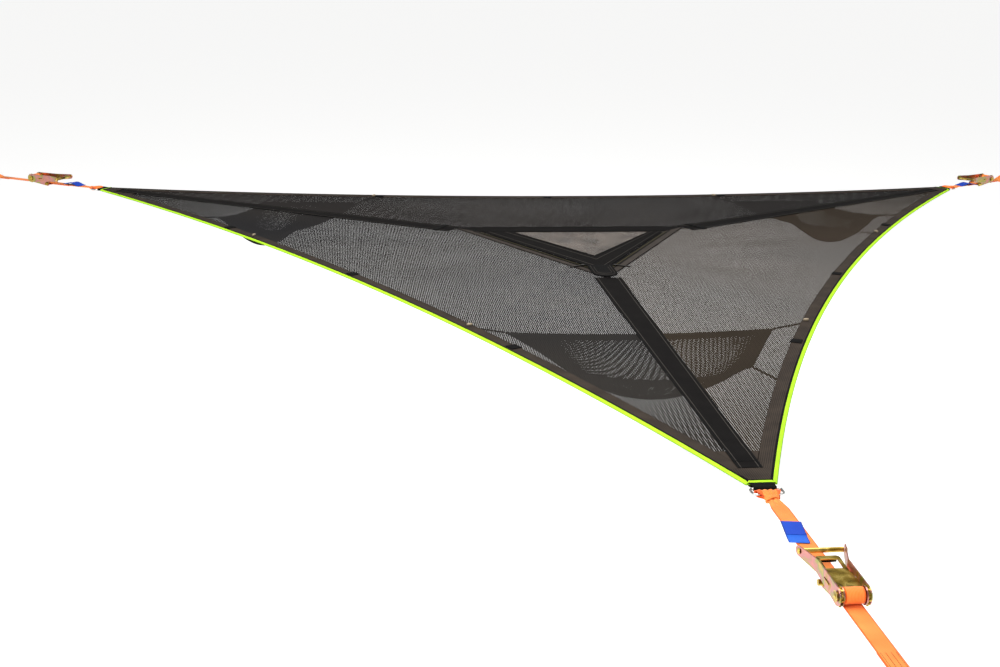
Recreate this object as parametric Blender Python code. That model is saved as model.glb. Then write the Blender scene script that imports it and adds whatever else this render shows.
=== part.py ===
"""Triangle hammock: a planar three-cornered mesh bed, strung up by three ratchet straps.

The bed lies in the plane z = 0.  Every corner has the same hardware: a webbing tab, a metal
ring, a short strap hitched to the ring, a ratchet and a tree strap that ends in a sewn eye.
The model's origin is the middle of the front corner's eye.  +X is right, +Y is away from the
front corner and +Z is up.
"""
import math

import bmesh
import bpy
from mathutils import Matrix, Vector
from mathutils.geometry import tessellate_polygon

# The bed's plan.  The bed is drawn on a triangle whose apexes the cut corners don't reach.
SIDE = 4.100                      # apex to apex
CORNER_ANGLE = {"front": -90.0, "right": 30.0, "left": 150.0}
EDGES = (("front", "right"), ("right", "left"), ("left", "front"))
EDGE_HOLLOW = {("front", "right"): 0.190, ("right", "left"): 0.240, ("left", "front"): 0.178}
CORNER_CUT = {"front": 0.098, "right": 0.128, "left": 0.112}      # apex to the cut edge
EDGE_STEPS = 16                   # stretches that an edge's curve is drawn in

# Layers of the bed, from the mesh cloth outward
SEAT_GAP = 0.0003                 # between two pieces that touch
MESH_THICKNESS = 0.0012
BAND_THICKNESS = 0.0015
TAPE_THICKNESS = 0.0012
BINDING_WIDTH = 0.012
BINDING_BELOW = 0.0018            # how far the folded binding reaches below the mesh plane
HEM_WIDTH = 0.038
BAND_WIDTH_AT_HATCH = 0.096
BAND_WIDTH_AT_CORNER = 0.056
BAND_END = 0.082                  # cut corner to the band's outer end
PATCH_DEPTH = 0.185               # cut corner to the corner patch's inner end

# Entry hatch in the middle of the bed
HATCH_INRADIUS = 0.215            # centre to each side of the hatch's seam
BORDER_SIDE_WIDTH = 0.043
BORDER_FAR_WIDTH = 0.085
FLAP_BAND_INSET = 0.012           # seam to the bands along the flap's two opening sides
FLAP_BAND_WIDTH = 0.110            # where the two bands meet at the front corner
FLAP_BAND_END = {"left": 0.102, "right": 0.045}      # the same bands at the hinge
FLAP_BAND_SHIFT = 0.013            # inner corner of the V, to the right of the middle
FLAP_SWING_ROOM = 0.0003          # hinge axis above the flap's bands
FLAP_CORNER_TRIM = 0.009          # cut off its two hinged corners, which would catch the seam
ZIP_WIDTH = 0.006
ZIP_THICKNESS = 0.0012
ZIP_INSET = 0.005                 # from the seam to the middle of the zip
ZIP_END_ROOM = 0.014              # the zip stops short of its corners by this much
SLIDER_LENGTH = 0.012
SLIDER_WIDTH = 0.009
SLIDER_THICKNESS = 0.0036
SLIDER_START = 0.115              # corner of the zip's line to the slider at rest
SLIDER_END_ROOM = 0.045
PULL_LENGTH = 0.055
PULL_WIDTH = 0.005
FLAP_TAB_WIDTH = 0.084
FLAP_TAB_INSIDE = 0.083           # the tab's straight end, inside the seam's front corner
FLAP_TAB_OUTSIDE = 0.070          # its round end, outside that corner
FLAP_TAB_THICKNESS = 0.0030
TAB_FOOT_WIDTH = 0.030
TAB_FOOT_LENGTH = 0.024

# Storage nets under the corners, and the cords that they hang on
# Hem nearer the middle of the bed first, then the hem nearer the corner
NET_REACH = {"front": (1.322, 1.040), "right": (1.200, 0.830), "left": (1.200, 0.830)}
NET_HALF = {"front": (0.420, 0.270), "right": (0.350, 0.180), "left": (0.350, 0.180)}
NET_DROP = {"front": (0.022, 0.050), "right": (0.014, 0.018), "left": (0.014, 0.018)}
NET_SAG = {"front": (0.012, 0.035), "right": (0.030, 0.014), "left": (0.030, 0.014)}
NET_BELLY = {"front": 0.097, "right": 0.118, "left": 0.118}
NET_PUSH = {"front": 0.0, "right": 0.030, "left": 0.030}     # belly, towards the bed's middle
NET_THICKNESS = 0.0030
NET_STEPS_ACROSS = 8
NET_STEPS_ALONG = 6
# Share of an edge between the corner and the two anchors
NET_ANCHOR = {"front": (0.342, 0.197), "right": (0.313, 0.207), "left": (0.313, 0.207)}
NET_ANCHOR_INSET = 0.038
CORD_DIAMETER = 0.0050
NET_CORD_GRIP = 0.012             # cord inside the net's corner
CORD_END = 0.010                  # level stretch of a cord under the hem

# Corner tab and ring
TAB_START = 0.077                 # cut corner to the tab's sewn end
TAB_HALF_WIDTH = 0.030
TAB_HALF_WIDTH_AT_RING = 0.0260
RING_WIRE_RADIUS = 0.0030
RING_INNER_BAR = 0.023            # cut corner out to the ring's bar inside the tab
RING_OUTER_BAR = 0.053
RING_HALF_WIDTH = 0.035           # to the middle of the wire
RING_CORNER_RADIUS = 0.008

# Webbing and straps
WEBBING_WIDTH = 0.038
WEBBING_THICKNESS = 0.0015
HITCH_HALF_WIDTH = 0.0260         # the short strap spread over the ring
NECK_HALF_WIDTH = 0.0135          # the same strap drawn together behind the ring
HITCH_START = 0.017               # ring's outer bar to the hitch's band
HITCH_SPREAD = 0.075              # ring's outer bar to where the strap is flat again
HITCH_TAIL = 0.008
HITCH_BAND_LENGTH = 0.018
HITCH_BAND_THICKNESS = 0.0028
SPOOL_REACH = {"front": 0.438, "left": 0.283, "right": 0.2235}    # apex to the spool's axis
FOLD_BACK = {"front": 0.245, "left": 0.120, "right": 0.080}       # sewn-back end at the bolt
ANCHOR_REACH = {"front": 0.735, "left": 0.560, "right": 0.390}    # apex to the eye's middle
EYE_RADIUS = 0.022
EYE_NECK = 0.075                  # eye's middle to where its two plies meet
EYE_STITCHED = 0.060
LABEL_START = {"front": 0.098, "left": 0.020, "right": 0.000}
LABEL_WIDTH = 0.042
LABEL_LENGTH = 0.095
LABEL_THICKNESS = 0.0010
LABEL_SKEW = -4.0                 # degrees from the strap's line

# Ratchet.  u runs outward from the spool's axis, t across, and w up.
WOUND_TURNS = 3.25
WOUND_GAP = 0.0005                # between two turns of the wound webbing
TURN_POINTS = 24
SHAFT_RADIUS = 0.0080
SHAFT_SLOT = 0.0030
SHAFT_CLEARANCE = 0.0009          # shaft to the first turn
RUNNING_GAP = 0.0003
BOLT_BACK = 0.086                 # spool's axis to the fixed bolt, along the strap
BOLT_RADIUS = 0.0050
WASHER_RADIUS = 0.0080
WASHER_THICKNESS = 0.0020
BOLT_HEAD_RADIUS = 0.0062
BOLT_HEAD_LENGTH = 0.0075
WEBBING_SIDE_ROOM = 0.0015        # wound webbing to a plate of the frame
FRAME_PLATE = 0.0025
FRAME_HUB_RADIUS = 0.0180
FRAME_BOLT_RADIUS = 0.0110
FRAME_WEB_FROM = 0.052            # along the frame's arm
FRAME_WEB_TO = 0.070
FRAME_WEB_DROP = 0.0120           # below the arm's middle line
WHEEL_THICKNESS = 0.0040
WHEEL_TIP_RADIUS = 0.0200
WHEEL_ROOT_RADIUS = 0.0155
WHEEL_TEETH = 12
TOOTH_TIP_HALF_ANGLE = 4.0
TOOTH_ROOT_HALF_ANGLE = 8.0
HANDLE_PLATE = 0.0025
HANDLE_RISE = 0.010               # grip above the spool's axis
HANDLE_LENGTH = 0.161             # spool's axis to the grip
HANDLE_CREASE = 0.104             # where the side plates begin to flare
HANDLE_FLARE = 0.016
HANDLE_HUB_RADIUS = 0.0180
HANDLE_END_RADIUS = 0.0105
GRIP_RADIUS = 0.0050
PAWL_THICKNESS = 0.0030
PAWL_TIP_CLEARANCE = 0.0005       # drive pawl to the wheel's tips
PAWL_BODY_END = 0.074
PAWL_END = 0.138
PAWL_TAIL_HALF = 0.0240
PAWL_EAR_FROM = 0.039
PAWL_EAR_TO = 0.057
PAWL_EAR_OUT = 0.0018             # how far an ear stands out of the handle's plate
PAWL_TRAVEL = 0.008
SLOT_SIDE_ROOM = 0.0005           # webbing to the end of the shaft's slot
FINGER_FROM = 0.092
FINGER_TO = 0.126
FINGER_HALF = 0.0170
BRIDGE_AT = 0.078                 # cross strip between the handle's plates
BRIDGE_WIDTH = 0.006
BRIDGE_THICKNESS = 0.0030
LOCK_DEPTH = 0.0005               # lock pawl's finger above the tooth root
LOCK_END = 0.040
LOCK_SHOULDER = 0.024
LOCK_TRAVEL = 0.005
SHAFT_OUT = 0.0020                # shaft past the handle's plates

# What follows from the sizes above
APEX_RADIUS = SIDE / math.sqrt(3)
MESH_TOP = MESH_THICKNESS / 2
BAND_BOTTOM = MESH_TOP + SEAT_GAP
BAND_TOP = BAND_BOTTOM + BAND_THICKNESS
TAPE_BOTTOM = BAND_TOP + SEAT_GAP
MESH_INSET = BINDING_WIDTH + SEAT_GAP
WOUND_PITCH = WEBBING_THICKNESS + WOUND_GAP
WOUND_START = SHAFT_RADIUS + SHAFT_CLEARANCE + WEBBING_THICKNESS / 2
WOUND_END = WOUND_START + WOUND_PITCH * WOUND_TURNS
ROLL_RADIUS = WOUND_END + WEBBING_THICKNESS / 2
SPOOL_HEIGHT = ROLL_RADIUS + RUNNING_GAP + WEBBING_THICKNESS / 2
WEBBING_HALF = WEBBING_WIDTH / 2
PLY_OFFSET = (WEBBING_THICKNESS + SEAT_GAP) / 2
FRAME_INNER_HALF = WEBBING_HALF + WEBBING_SIDE_ROOM
FRAME_OUTER_HALF = FRAME_INNER_HALF + FRAME_PLATE
WHEEL_INNER_HALF = FRAME_OUTER_HALF + RUNNING_GAP
WHEEL_OUTER_HALF = WHEEL_INNER_HALF + WHEEL_THICKNESS
HANDLE_INNER_HALF = WHEEL_OUTER_HALF + RUNNING_GAP
HANDLE_OUTER_HALF = HANDLE_INNER_HALF + HANDLE_PLATE
PAWL_HALF = HANDLE_INNER_HALF - RUNNING_GAP
ARM_ANGLE = math.atan2(SPOOL_HEIGHT, BOLT_BACK)
HANDLE_ANGLE = math.asin(HANDLE_RISE / HANDLE_LENGTH)


def finish(name, colour, metallic, roughness):
    """One material of the object, with its colour as 0 to 1 linear values."""
    material = bpy.data.materials.new(name)
    material.use_nodes = True
    shader = material.node_tree.nodes["Principled BSDF"]
    shader.inputs["Base Color"].default_value = (*colour, 1.0)
    shader.inputs["Metallic"].default_value = metallic
    shader.inputs["Roughness"].default_value = roughness
    return material


def clear_scene():
    for thing in list(bpy.data.objects):
        bpy.data.objects.remove(thing)


# Solids as (vertices, faces)

def prism(loops, low, high, plane):
    """Solid between two levels.  The first loop is the outline and the others are holes."""
    flat = [point for loop in loops for point in loop]
    count = len(flat)
    vertices = [plane(a, b, low) for a, b in flat] + [plane(a, b, high) for a, b in flat]
    cap = tessellate_polygon([[Vector((a, b, 0.0)) for a, b in loop] for loop in loops])
    faces = [tuple(face) for face in cap]
    faces += [tuple(index + count for index in reversed(face)) for face in cap]
    first = 0
    for loop in loops:
        for i in range(len(loop)):
            here = first + i
            after = first + (i + 1) % len(loop)
            faces.append((here, after, after + count, here + count))
        first += len(loop)
    return vertices, faces


def ribbon(path, half_widths, thickness):
    """Flat strip that follows a path of (u, w) points and is level across."""
    vertices, faces = [], []
    last = len(path) - 1
    for i, (u, w) in enumerate(path):
        before = Vector(path[max(i - 1, 0)])
        after = Vector(path[min(i + 1, last)])
        along = (after - before).normalized()
        offset = Vector((-along.y, along.x)) * thickness / 2
        half = half_widths[i]
        for side, across in ((1, -half), (1, half), (-1, half), (-1, -half)):
            vertices.append((u + side * offset.x, across, w + side * offset.y))
    for i in range(last):
        for k in range(4):
            a = 4 * i + k
            b = 4 * i + (k + 1) % 4
            faces.append((a, b, b + 4, a + 4))
    faces.append((3, 2, 1, 0))
    faces.append(tuple(4 * last + k for k in range(4)))
    return vertices, faces


def tube(points, radius, sides, closed=False):
    """Round bar along points; its rings turn with the path and don't twist."""
    points = [Vector(point) for point in points]
    count = len(points)
    vertices, faces = [], []
    normal = None
    for i, point in enumerate(points):
        before = points[i - 1] if closed or i else point
        after = points[(i + 1) % count] if closed or i < count - 1 else point
        along = (after - before).normalized()
        if normal is None:
            normal = along.orthogonal()
        normal = (normal - along * normal.dot(along)).normalized()
        side = along.cross(normal)
        for k in range(sides):
            angle = 2 * math.pi * k / sides
            vertices.append(point + radius * (math.cos(angle) * normal + math.sin(angle) * side))
    for i in range(count if closed else count - 1):
        for k in range(sides):
            a, b = i * sides + k, i * sides + (k + 1) % sides
            c, d = (i + 1) % count * sides + (k + 1) % sides, (i + 1) % count * sides + k
            faces.append((a, b, c, d))
    if not closed:
        faces.append(tuple(reversed(range(sides))))
        faces.append(tuple((count - 1) * sides + k for k in range(sides)))
    return vertices, faces


def turned(profile, sides):
    """Round piece about the t axis, from (t, radius) pairs."""
    vertices, faces = [], []
    for t, radius in profile:
        for k in range(sides):
            angle = 2 * math.pi * k / sides
            vertices.append((radius * math.cos(angle), t, radius * math.sin(angle)))
    for i in range(len(profile) - 1):
        for k in range(sides):
            a, b = i * sides + k, i * sides + (k + 1) % sides
            faces.append((a, b, b + sides, a + sides))
    faces.append(tuple(reversed(range(sides))))
    faces.append(tuple((len(profile) - 1) * sides + k for k in range(sides)))
    return vertices, faces


def moved(solid, matrix):
    vertices, faces = solid
    return [tuple(matrix @ Vector(vertex)) for vertex in vertices], faces


def make(name, solids, material, parent=None, smooth=False):
    """One named object from one or more solids that don't touch."""
    mesh = bpy.data.meshes.new(name)
    vertices, faces = [], []
    for some_vertices, some_faces in solids:
        first = len(vertices)
        vertices += [tuple(vertex) for vertex in some_vertices]
        faces += [tuple(first + index for index in face) for face in some_faces]
    mesh.from_pydata(vertices, [], faces)
    editable = bmesh.new()
    editable.from_mesh(mesh)
    bmesh.ops.recalc_face_normals(editable, faces=editable.faces)
    editable.to_mesh(mesh)
    editable.free()
    mesh.materials.append(material)
    if smooth:
        mesh.shade_smooth()
        mesh.set_sharp_from_angle(angle=math.radians(40))
    thing = bpy.data.objects.new(name, mesh)
    bpy.context.scene.collection.objects.link(thing)
    thing.parent = parent
    return thing


def helper(thing):
    """Mark an object as a tool of another object's modifier."""
    thing.hide_render = True
    thing.display_type = "WIRE"


def join(thing, other, operation="UNION"):
    helper(other)
    modifier = thing.modifiers.new(other.name, "BOOLEAN")
    modifier.operation = operation
    modifier.solver = "EXACT"
    modifier.object = other


def pivot(name, matrix):
    """Empty that carries the pieces that turn about it."""
    empty = bpy.data.objects.new(name, None)
    bpy.context.scene.collection.objects.link(empty)
    empty.matrix_world = matrix
    return empty


# Planes that an outline is drawn in

def plan(x, y, level):
    return (x, y, level)


def side_view(u, w, t):
    return (u, t, w)


def handle_view(h, v, t):
    """h runs from the spool's axis to the grip of the closed handle, v across it."""
    u = -h * math.cos(HANDLE_ANGLE) + v * math.sin(HANDLE_ANGLE)
    w = h * math.sin(HANDLE_ANGLE) + v * math.cos(HANDLE_ANGLE)
    return (u, t, w)


def handle_plan(h, t, v):
    return handle_view(h, v, t)


def arm_plan(d, t, v):
    """d runs from the spool's axis along the frame's arm to the fixed bolt."""
    u = -d * math.cos(ARM_ANGLE) + v * math.sin(ARM_ANGLE)
    w = -d * math.sin(ARM_ANGLE) - v * math.cos(ARM_ANGLE)
    return (u, t, w)


# Outlines

def arc(centre, radius, start, stop, steps):
    """Points of an arc between two angles in degrees, both ends included."""
    points = []
    for i in range(steps + 1):
        angle = math.radians(start + (stop - start) * i / steps)
        points.append((centre[0] + radius * math.cos(angle), centre[1] + radius * math.sin(angle)))
    return points


def circle(centre, radius, sides):
    return arc(centre, radius, 0.0, 360.0, sides)[:-1]


def direction(corner):
    angle = math.radians(CORNER_ANGLE[corner])
    return Vector((math.cos(angle), math.sin(angle)))


def apex(corner):
    return direction(corner) * APEX_RADIUS


def edge_point(edge, share, inset=0.0):
    """Point of an edge's curve, moved into the bed by inset."""
    first, second = apex(edge[0]), apex(edge[1])
    chord = second - first
    inward = Vector((-chord.y, chord.x)).normalized()
    hollow = EDGE_HOLLOW[edge]
    point = first + chord * share + inward * 4 * hollow * share * (1 - share)
    tangent = (chord + inward * 4 * hollow * (1 - 2 * share)).normalized()
    return point + Vector((-tangent.y, tangent.x)) * inset


def share_at(edge, corner, inset, distance):
    """Where an edge's curve is the given distance in from a corner's apex."""
    low, high = (0.0, 0.5) if corner == edge[0] else (1.0, 0.5)
    for _ in range(40):
        middle = (low + high) / 2
        if (apex(corner) - edge_point(edge, middle, inset)).dot(direction(corner)) < distance:
            low = middle
        else:
            high = middle
    return (low + high) / 2


def edge_curve(edge, inset, past_cut, steps=EDGE_STEPS):
    """The curve's points from corner to corner, ending the given depth inside the cuts."""
    start = share_at(edge, edge[0], inset, CORNER_CUT[edge[0]] + past_cut)
    stop = share_at(edge, edge[1], inset, CORNER_CUT[edge[1]] + past_cut)
    return [edge_point(edge, start + (stop - start) * i / steps, inset) for i in range(steps + 1)]


def across(corner):
    """Unit vector across a corner's radial line, counter-clockwise."""
    out = direction(corner)
    return Vector((-out.y, out.x))


def edges_at(corner):
    """The edge that begins at a corner, then the one that ends there."""
    begins = next(edge for edge in EDGES if edge[0] == corner)
    ends = next(edge for edge in EDGES if edge[1] == corner)
    return begins, ends


def corner_middle(corner, past_cut):
    """How far the middle between a corner's two edges lies to the side of its radial line."""
    distance = CORNER_CUT[corner] + past_cut
    points = [edge_point(edge, share_at(edge, corner, 0.0, distance)) for edge in edges_at(corner)]
    return (points[0] + points[1]).dot(across(corner)) / 2


def bed_centre():
    """Centre of the bed's triangle, with the front eye's middle at the origin."""
    back = -direction("front") * (APEX_RADIUS + ANCHOR_REACH["front"])
    back -= across("front") * corner_middle("front", 0.0)
    return Vector((back.x, back.y, 0.0))


def corner_frame(corner):
    """Matrix of a corner's strap line: origin level with its apex, x outward, y across, z up."""
    out, side = direction(corner), across(corner)
    point = apex(corner) + side * corner_middle(corner, 0.0) + BED_CENTRE.xy
    return Matrix(((out.x, side.x, 0.0, point.x), (out.y, side.y, 0.0, point.y),
                   (0.0, 0.0, 1.0, 0.0), (0.0, 0.0, 0.0, 1.0)))


BED_CENTRE = bed_centre()


def in_world(points):
    return [(point[0] + BED_CENTRE.x, point[1] + BED_CENTRE.y) for point in points]


# The bed

def mesh_panel(edge):
    """Cloth between two radial lines, from the hatch's seam to the binding."""
    first, second = edge
    gap = SEAT_GAP / 2
    seam_corner = 2 * HATCH_INRADIUS + SEAT_GAP
    out_first = direction(first) * (APEX_RADIUS - CORNER_CUT[first] - MESH_INSET)
    out_second = direction(second) * (APEX_RADIUS - CORNER_CUT[second] - MESH_INSET)
    out_first += across(first) * gap
    out_second -= across(second) * gap
    in_first = direction(first) * seam_corner + across(first) * gap
    in_second = direction(second) * seam_corner - across(second) * gap
    outline = [in_first, out_first] + edge_curve(edge, MESH_INSET, MESH_INSET) + [out_second, in_second]
    return prism([in_world(outline)], -MESH_TOP, MESH_TOP, plan)


def closed_ring(outer, inner, low, high):
    """Flat ring between two outlines."""
    return prism([in_world(outer), in_world(inner[::-1])], low, high, plan)


def bed_outline(inset, past_cut):
    """All three edges at one inset, joined straight across the corners."""
    return [point for edge in EDGES for point in edge_curve(edge, inset, past_cut)]


def edge_binding():
    """Folded binding all round the bed."""
    return closed_ring(bed_outline(0.0, 0.0), bed_outline(BINDING_WIDTH, BINDING_WIDTH),
                       -BINDING_BELOW, BAND_TOP)


def edge_hem():
    """Reinforcing band along the edges, doubled out to a patch in each corner."""
    return closed_ring(bed_outline(MESH_INSET, MESH_INSET),
                       bed_outline(MESH_INSET + HEM_WIDTH, PATCH_DEPTH), BAND_BOTTOM, BAND_TOP)


def radial_band(corner, room=0.0, low=BAND_BOTTOM, high=BAND_TOP):
    """Band from inside the hatch's border to the corner patch."""
    out, side = direction(corner), across(corner)
    wide, narrow = BAND_WIDTH_AT_HATCH / 2 + room, BAND_WIDTH_AT_CORNER / 2 + room
    inner = 2 * HATCH_INRADIUS
    outer = APEX_RADIUS - CORNER_CUT[corner] - BAND_END + room
    shift = corner_middle(corner, BAND_END)
    outline = [out * radius + side * offset for radius, offset in
               ((inner, -wide), (outer, shift - narrow), (outer, shift + narrow), (inner, wide))]
    return prism([in_world(outline)], low, high, plan)


def triangle(inradius):
    return [direction(edge[0]) * 2 * inradius for edge in EDGES]


def border_outline(room=0.0):
    """Outer edge of the hatch's border, which is wider along the far side."""
    side = HATCH_INRADIUS + BORDER_SIDE_WIDTH + room
    far = HATCH_INRADIUS + BORDER_FAR_WIDTH + room
    half = (far + 2 * side) / math.sqrt(3)
    return [Vector((0.0, -2 * side)), Vector((half, far)), Vector((-half, far))]


def hatch_border(room=0.0, low=BAND_BOTTOM, high=BAND_TOP):
    return closed_ring(border_outline(room), triangle(HATCH_INRADIUS + SEAT_GAP), low, high)


def border_seat():
    """Cutter that trims the radial bands round the hatch's border."""
    return prism([in_world(border_outline(SEAT_GAP))], 0.0, TAPE_BOTTOM, plan)


def build_bed(cloth, band, hem, neon):
    for edge in EDGES:
        make("mesh_panel_" + "_".join(edge), [mesh_panel(edge)], cloth)
    edge_band = make("edge_hem", [edge_hem()], hem)
    make("edge_binding", [edge_binding()], neon)
    for corner in CORNER_ANGLE:
        strip = make("radial_band_" + corner, [radial_band(corner)], band)
        join(strip, make("border_seat_" + corner, [border_seat()], band), "DIFFERENCE")
        seat = radial_band(corner, SEAT_GAP, 0.0, TAPE_BOTTOM)
        join(edge_band, make("band_seat_" + corner, [seat], band), "DIFFERENCE")
    make("hatch_border", [hatch_border()], band)


# The hatch's flap, its zips and their sliders

def zip_line(far_corner):
    """Start of a zip's line at the front corner of the seam, its direction and its length."""
    line_inradius = HATCH_INRADIUS + ZIP_INSET
    start = direction("front") * 2 * line_inradius
    stop = direction(far_corner) * 2 * line_inradius
    return start, (stop - start).normalized(), (stop - start).length


def zip_strip(far_corner):
    start, along, length = zip_line(far_corner)
    side = Vector((-along.y, along.x)) * ZIP_WIDTH / 2
    first, last = start + along * ZIP_END_ROOM, start + along * (length - ZIP_END_ROOM)
    outline = [first - side, last - side, last + side, first + side]
    return prism([in_world(outline)], TAPE_BOTTOM, TAPE_BOTTOM + ZIP_THICKNESS, plan)


def zip_slider(far_corner, outward):
    """Slider body with its pull lying outward over the border."""
    start, along, _ = zip_line(far_corner)
    side = Vector((-along.y, along.x)) * outward
    middle = start + along * SLIDER_START
    half, width = SLIDER_LENGTH / 2, SLIDER_WIDTH / 2
    pull, reach = PULL_WIDTH / 2, SLIDER_WIDTH / 2 + PULL_LENGTH
    shape = ((-half, -width), (half, -width), (half, width), (pull, width), (pull, reach),
             (-pull, reach), (-pull, width), (-half, width))
    outline = [middle + along * a + side * b for a, b in shape]
    low = TAPE_BOTTOM + ZIP_THICKNESS + SEAT_GAP
    return prism([in_world(outline)], low, low + SLIDER_THICKNESS, plan)


def flap_outline():
    """The flap's triangle without the tips of its two hinged corners."""
    front, right, left = triangle(HATCH_INRADIUS - SEAT_GAP)
    trim = FLAP_CORNER_TRIM
    return [front, right + (front - right).normalized() * trim,
            right + (left - right).normalized() * trim, left + (right - left).normalized() * trim,
            left + (front - left).normalized() * trim]


def flap_bands():
    """Doubled bands along the flap's two opening sides, in one V."""
    far = HATCH_INRADIUS - SEAT_GAP
    edge = HATCH_INRADIUS - FLAP_BAND_INSET

    def end(width):
        return (far + 2 * (edge - width)) / math.sqrt(3)

    outline = [Vector((-end(0.0), far)), Vector((0.0, -2 * edge)), Vector((end(0.0), far)),
               Vector((end(FLAP_BAND_END["right"]), far)),
               Vector((FLAP_BAND_SHIFT, -2 * (edge - FLAP_BAND_WIDTH))),
               Vector((-end(FLAP_BAND_END["left"]), far))]
    return prism([in_world(outline)], BAND_BOTTOM, BAND_TOP, plan)


def flap_tab():
    """Round-ended tab over the hatch's front corner, clear of the zips."""
    half = FLAP_TAB_WIDTH / 2
    seam_corner = 2 * HATCH_INRADIUS
    start, end = seam_corner - FLAP_TAB_INSIDE, seam_corner + FLAP_TAB_OUTSIDE
    shape = [(start, -half)]
    shape += [(end - half + a, b) for a, b in arc((0.0, 0.0), half, -90.0, 90.0, 12)]
    shape.append((start, half))
    out, side = direction("front"), across("front")
    outline = [out * a + side * b for a, b in shape]
    low = TAPE_BOTTOM + ZIP_THICKNESS + SEAT_GAP
    return prism([in_world(outline)], low, low + FLAP_TAB_THICKNESS, plan)


def tab_foot():
    """Sewn-down part of the tab, between the zips."""
    half = TAB_FOOT_WIDTH / 2
    start = 2 * HATCH_INRADIUS - FLAP_TAB_INSIDE
    out, side = direction("front"), across("front")
    outline = [out * (start + a) + side * b for a, b in
               ((0.0, -half), (TAB_FOOT_LENGTH, -half), (TAB_FOOT_LENGTH, half), (0.0, half))]
    high = TAPE_BOTTOM + ZIP_THICKNESS + SEAT_GAP + FLAP_TAB_THICKNESS / 2
    return prism([in_world(outline)], TAPE_BOTTOM, high, plan)


def build_hatch(cloth, band, zip_tape, zip_metal):
    hinge_y = BED_CENTRE.y + HATCH_INRADIUS
    hinge_z = BAND_TOP + FLAP_SWING_ROOM
    hinge = pivot("hatch_hinge", Matrix.Translation((0.0, hinge_y, hinge_z)))
    back = Matrix.Translation((0.0, -hinge_y, -hinge_z))
    panel = prism([in_world(flap_outline())], -MESH_TOP, MESH_TOP, plan)
    make("hatch_panel", [moved(panel, back)], cloth, parent=hinge)
    make("hatch_flap_bands", [moved(flap_bands(), back)], band, parent=hinge)
    tab = make("hatch_flap_tab", [moved(flap_tab(), back)], band, parent=hinge)
    join(tab, make("hatch_tab_foot", [moved(tab_foot(), back)], band, parent=hinge))
    for corner, outward in (("left", 1.0), ("right", -1.0)):
        make("hatch_zip_" + corner, [zip_strip(corner)], zip_tape)
        make("zip_slider_" + corner, [zip_slider(corner, outward)], zip_metal)


# Storage nets

def between(pair, share):
    return pair[0] + (pair[1] - pair[0]) * share


def net_point(corner, across_share, along_share):
    """Point of a net's upper face in its corner's frame."""
    sweep = along_share ** 0.7
    middle = 1 - across_share ** 2
    push = NET_PUSH[corner] * math.sin(math.pi * along_share) * middle
    sag = between(NET_SAG[corner], along_share)
    sag += NET_BELLY[corner] * math.sin(math.pi * along_share ** 1.6)
    return Vector((-between(NET_REACH[corner], sweep) - push,
                   between(NET_HALF[corner], sweep) * across_share,
                   -between(NET_DROP[corner], along_share) - sag * middle))


def storage_net(corner):
    """Slack sheet held at its four corners."""
    rows = [[net_point(corner, 2 * i / NET_STEPS_ACROSS - 1, j / NET_STEPS_ALONG)
             for i in range(NET_STEPS_ACROSS + 1)] for j in range(NET_STEPS_ALONG + 1)]
    upper = [point for row in rows for point in row]
    lower = [point - Vector((0.0, 0.0, NET_THICKNESS)) for point in upper]
    width, count = NET_STEPS_ACROSS + 1, len(upper)
    faces = []
    for j in range(NET_STEPS_ALONG):
        for i in range(NET_STEPS_ACROSS):
            a = j * width + i
            quad = (a, a + 1, a + width + 1, a + width)
            faces += [(quad[0], quad[1], quad[2]), (quad[0], quad[2], quad[3])]
            faces += [(quad[2] + count, quad[1] + count, quad[0] + count),
                      (quad[3] + count, quad[2] + count, quad[0] + count)]
    rim = list(range(width))
    rim += [j * width + width - 1 for j in range(1, NET_STEPS_ALONG + 1)]
    rim += [NET_STEPS_ALONG * width + i for i in range(width - 2, -1, -1)]
    rim += [j * width for j in range(NET_STEPS_ALONG - 1, 0, -1)]
    for here, after in zip(rim, rim[1:] + rim[:1]):
        faces.append((here, here + count, after + count, after))
    return upper + lower, faces


def net_anchors(corner):
    """Pairs of a net's corner point and its anchor on the hem, in world coordinates."""
    begins, ends = edges_at(corner)
    frame = corner_frame(corner)
    pairs = []
    for side, edge in ((1, begins), (-1, ends)):
        for along_share, share in zip((0.0, 1.0), NET_ANCHOR[corner]):
            place = share if edge is begins else 1 - share
            spot = edge_point(edge, place, NET_ANCHOR_INSET) + BED_CENTRE.xy
            corner_point = frame @ net_point(corner, side, along_share)
            corner_point.z -= NET_THICKNESS / 2
            pairs.append((corner_point, spot))
    return pairs


def net_cord(corner_point, spot):
    """Elastic cord from inside a net's corner to the underside of the hem."""
    end = Vector((spot.x, spot.y, -MESH_TOP - SEAT_GAP - CORD_DIAMETER / 2))
    along = (end - corner_point).normalized()
    start = corner_point - along * NET_CORD_GRIP
    level = Vector((along.x, along.y, 0.0)).normalized()
    return tube([start, end, end + level * CORD_END], CORD_DIAMETER / 2, 8)


def build_nets(net):
    for corner in CORNER_ANGLE:
        name = "storage_net_" + corner
        sheet = make(name, [moved(storage_net(corner), corner_frame(corner))], net)
        for i, (corner_point, spot) in enumerate(net_anchors(corner)):
            join(sheet, make("%s_cord_%d" % (name, i), [net_cord(corner_point, spot)], net))


# Corner tab, ring and straps.  Their side views are drawn as (distance beyond the apex, height).

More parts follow.
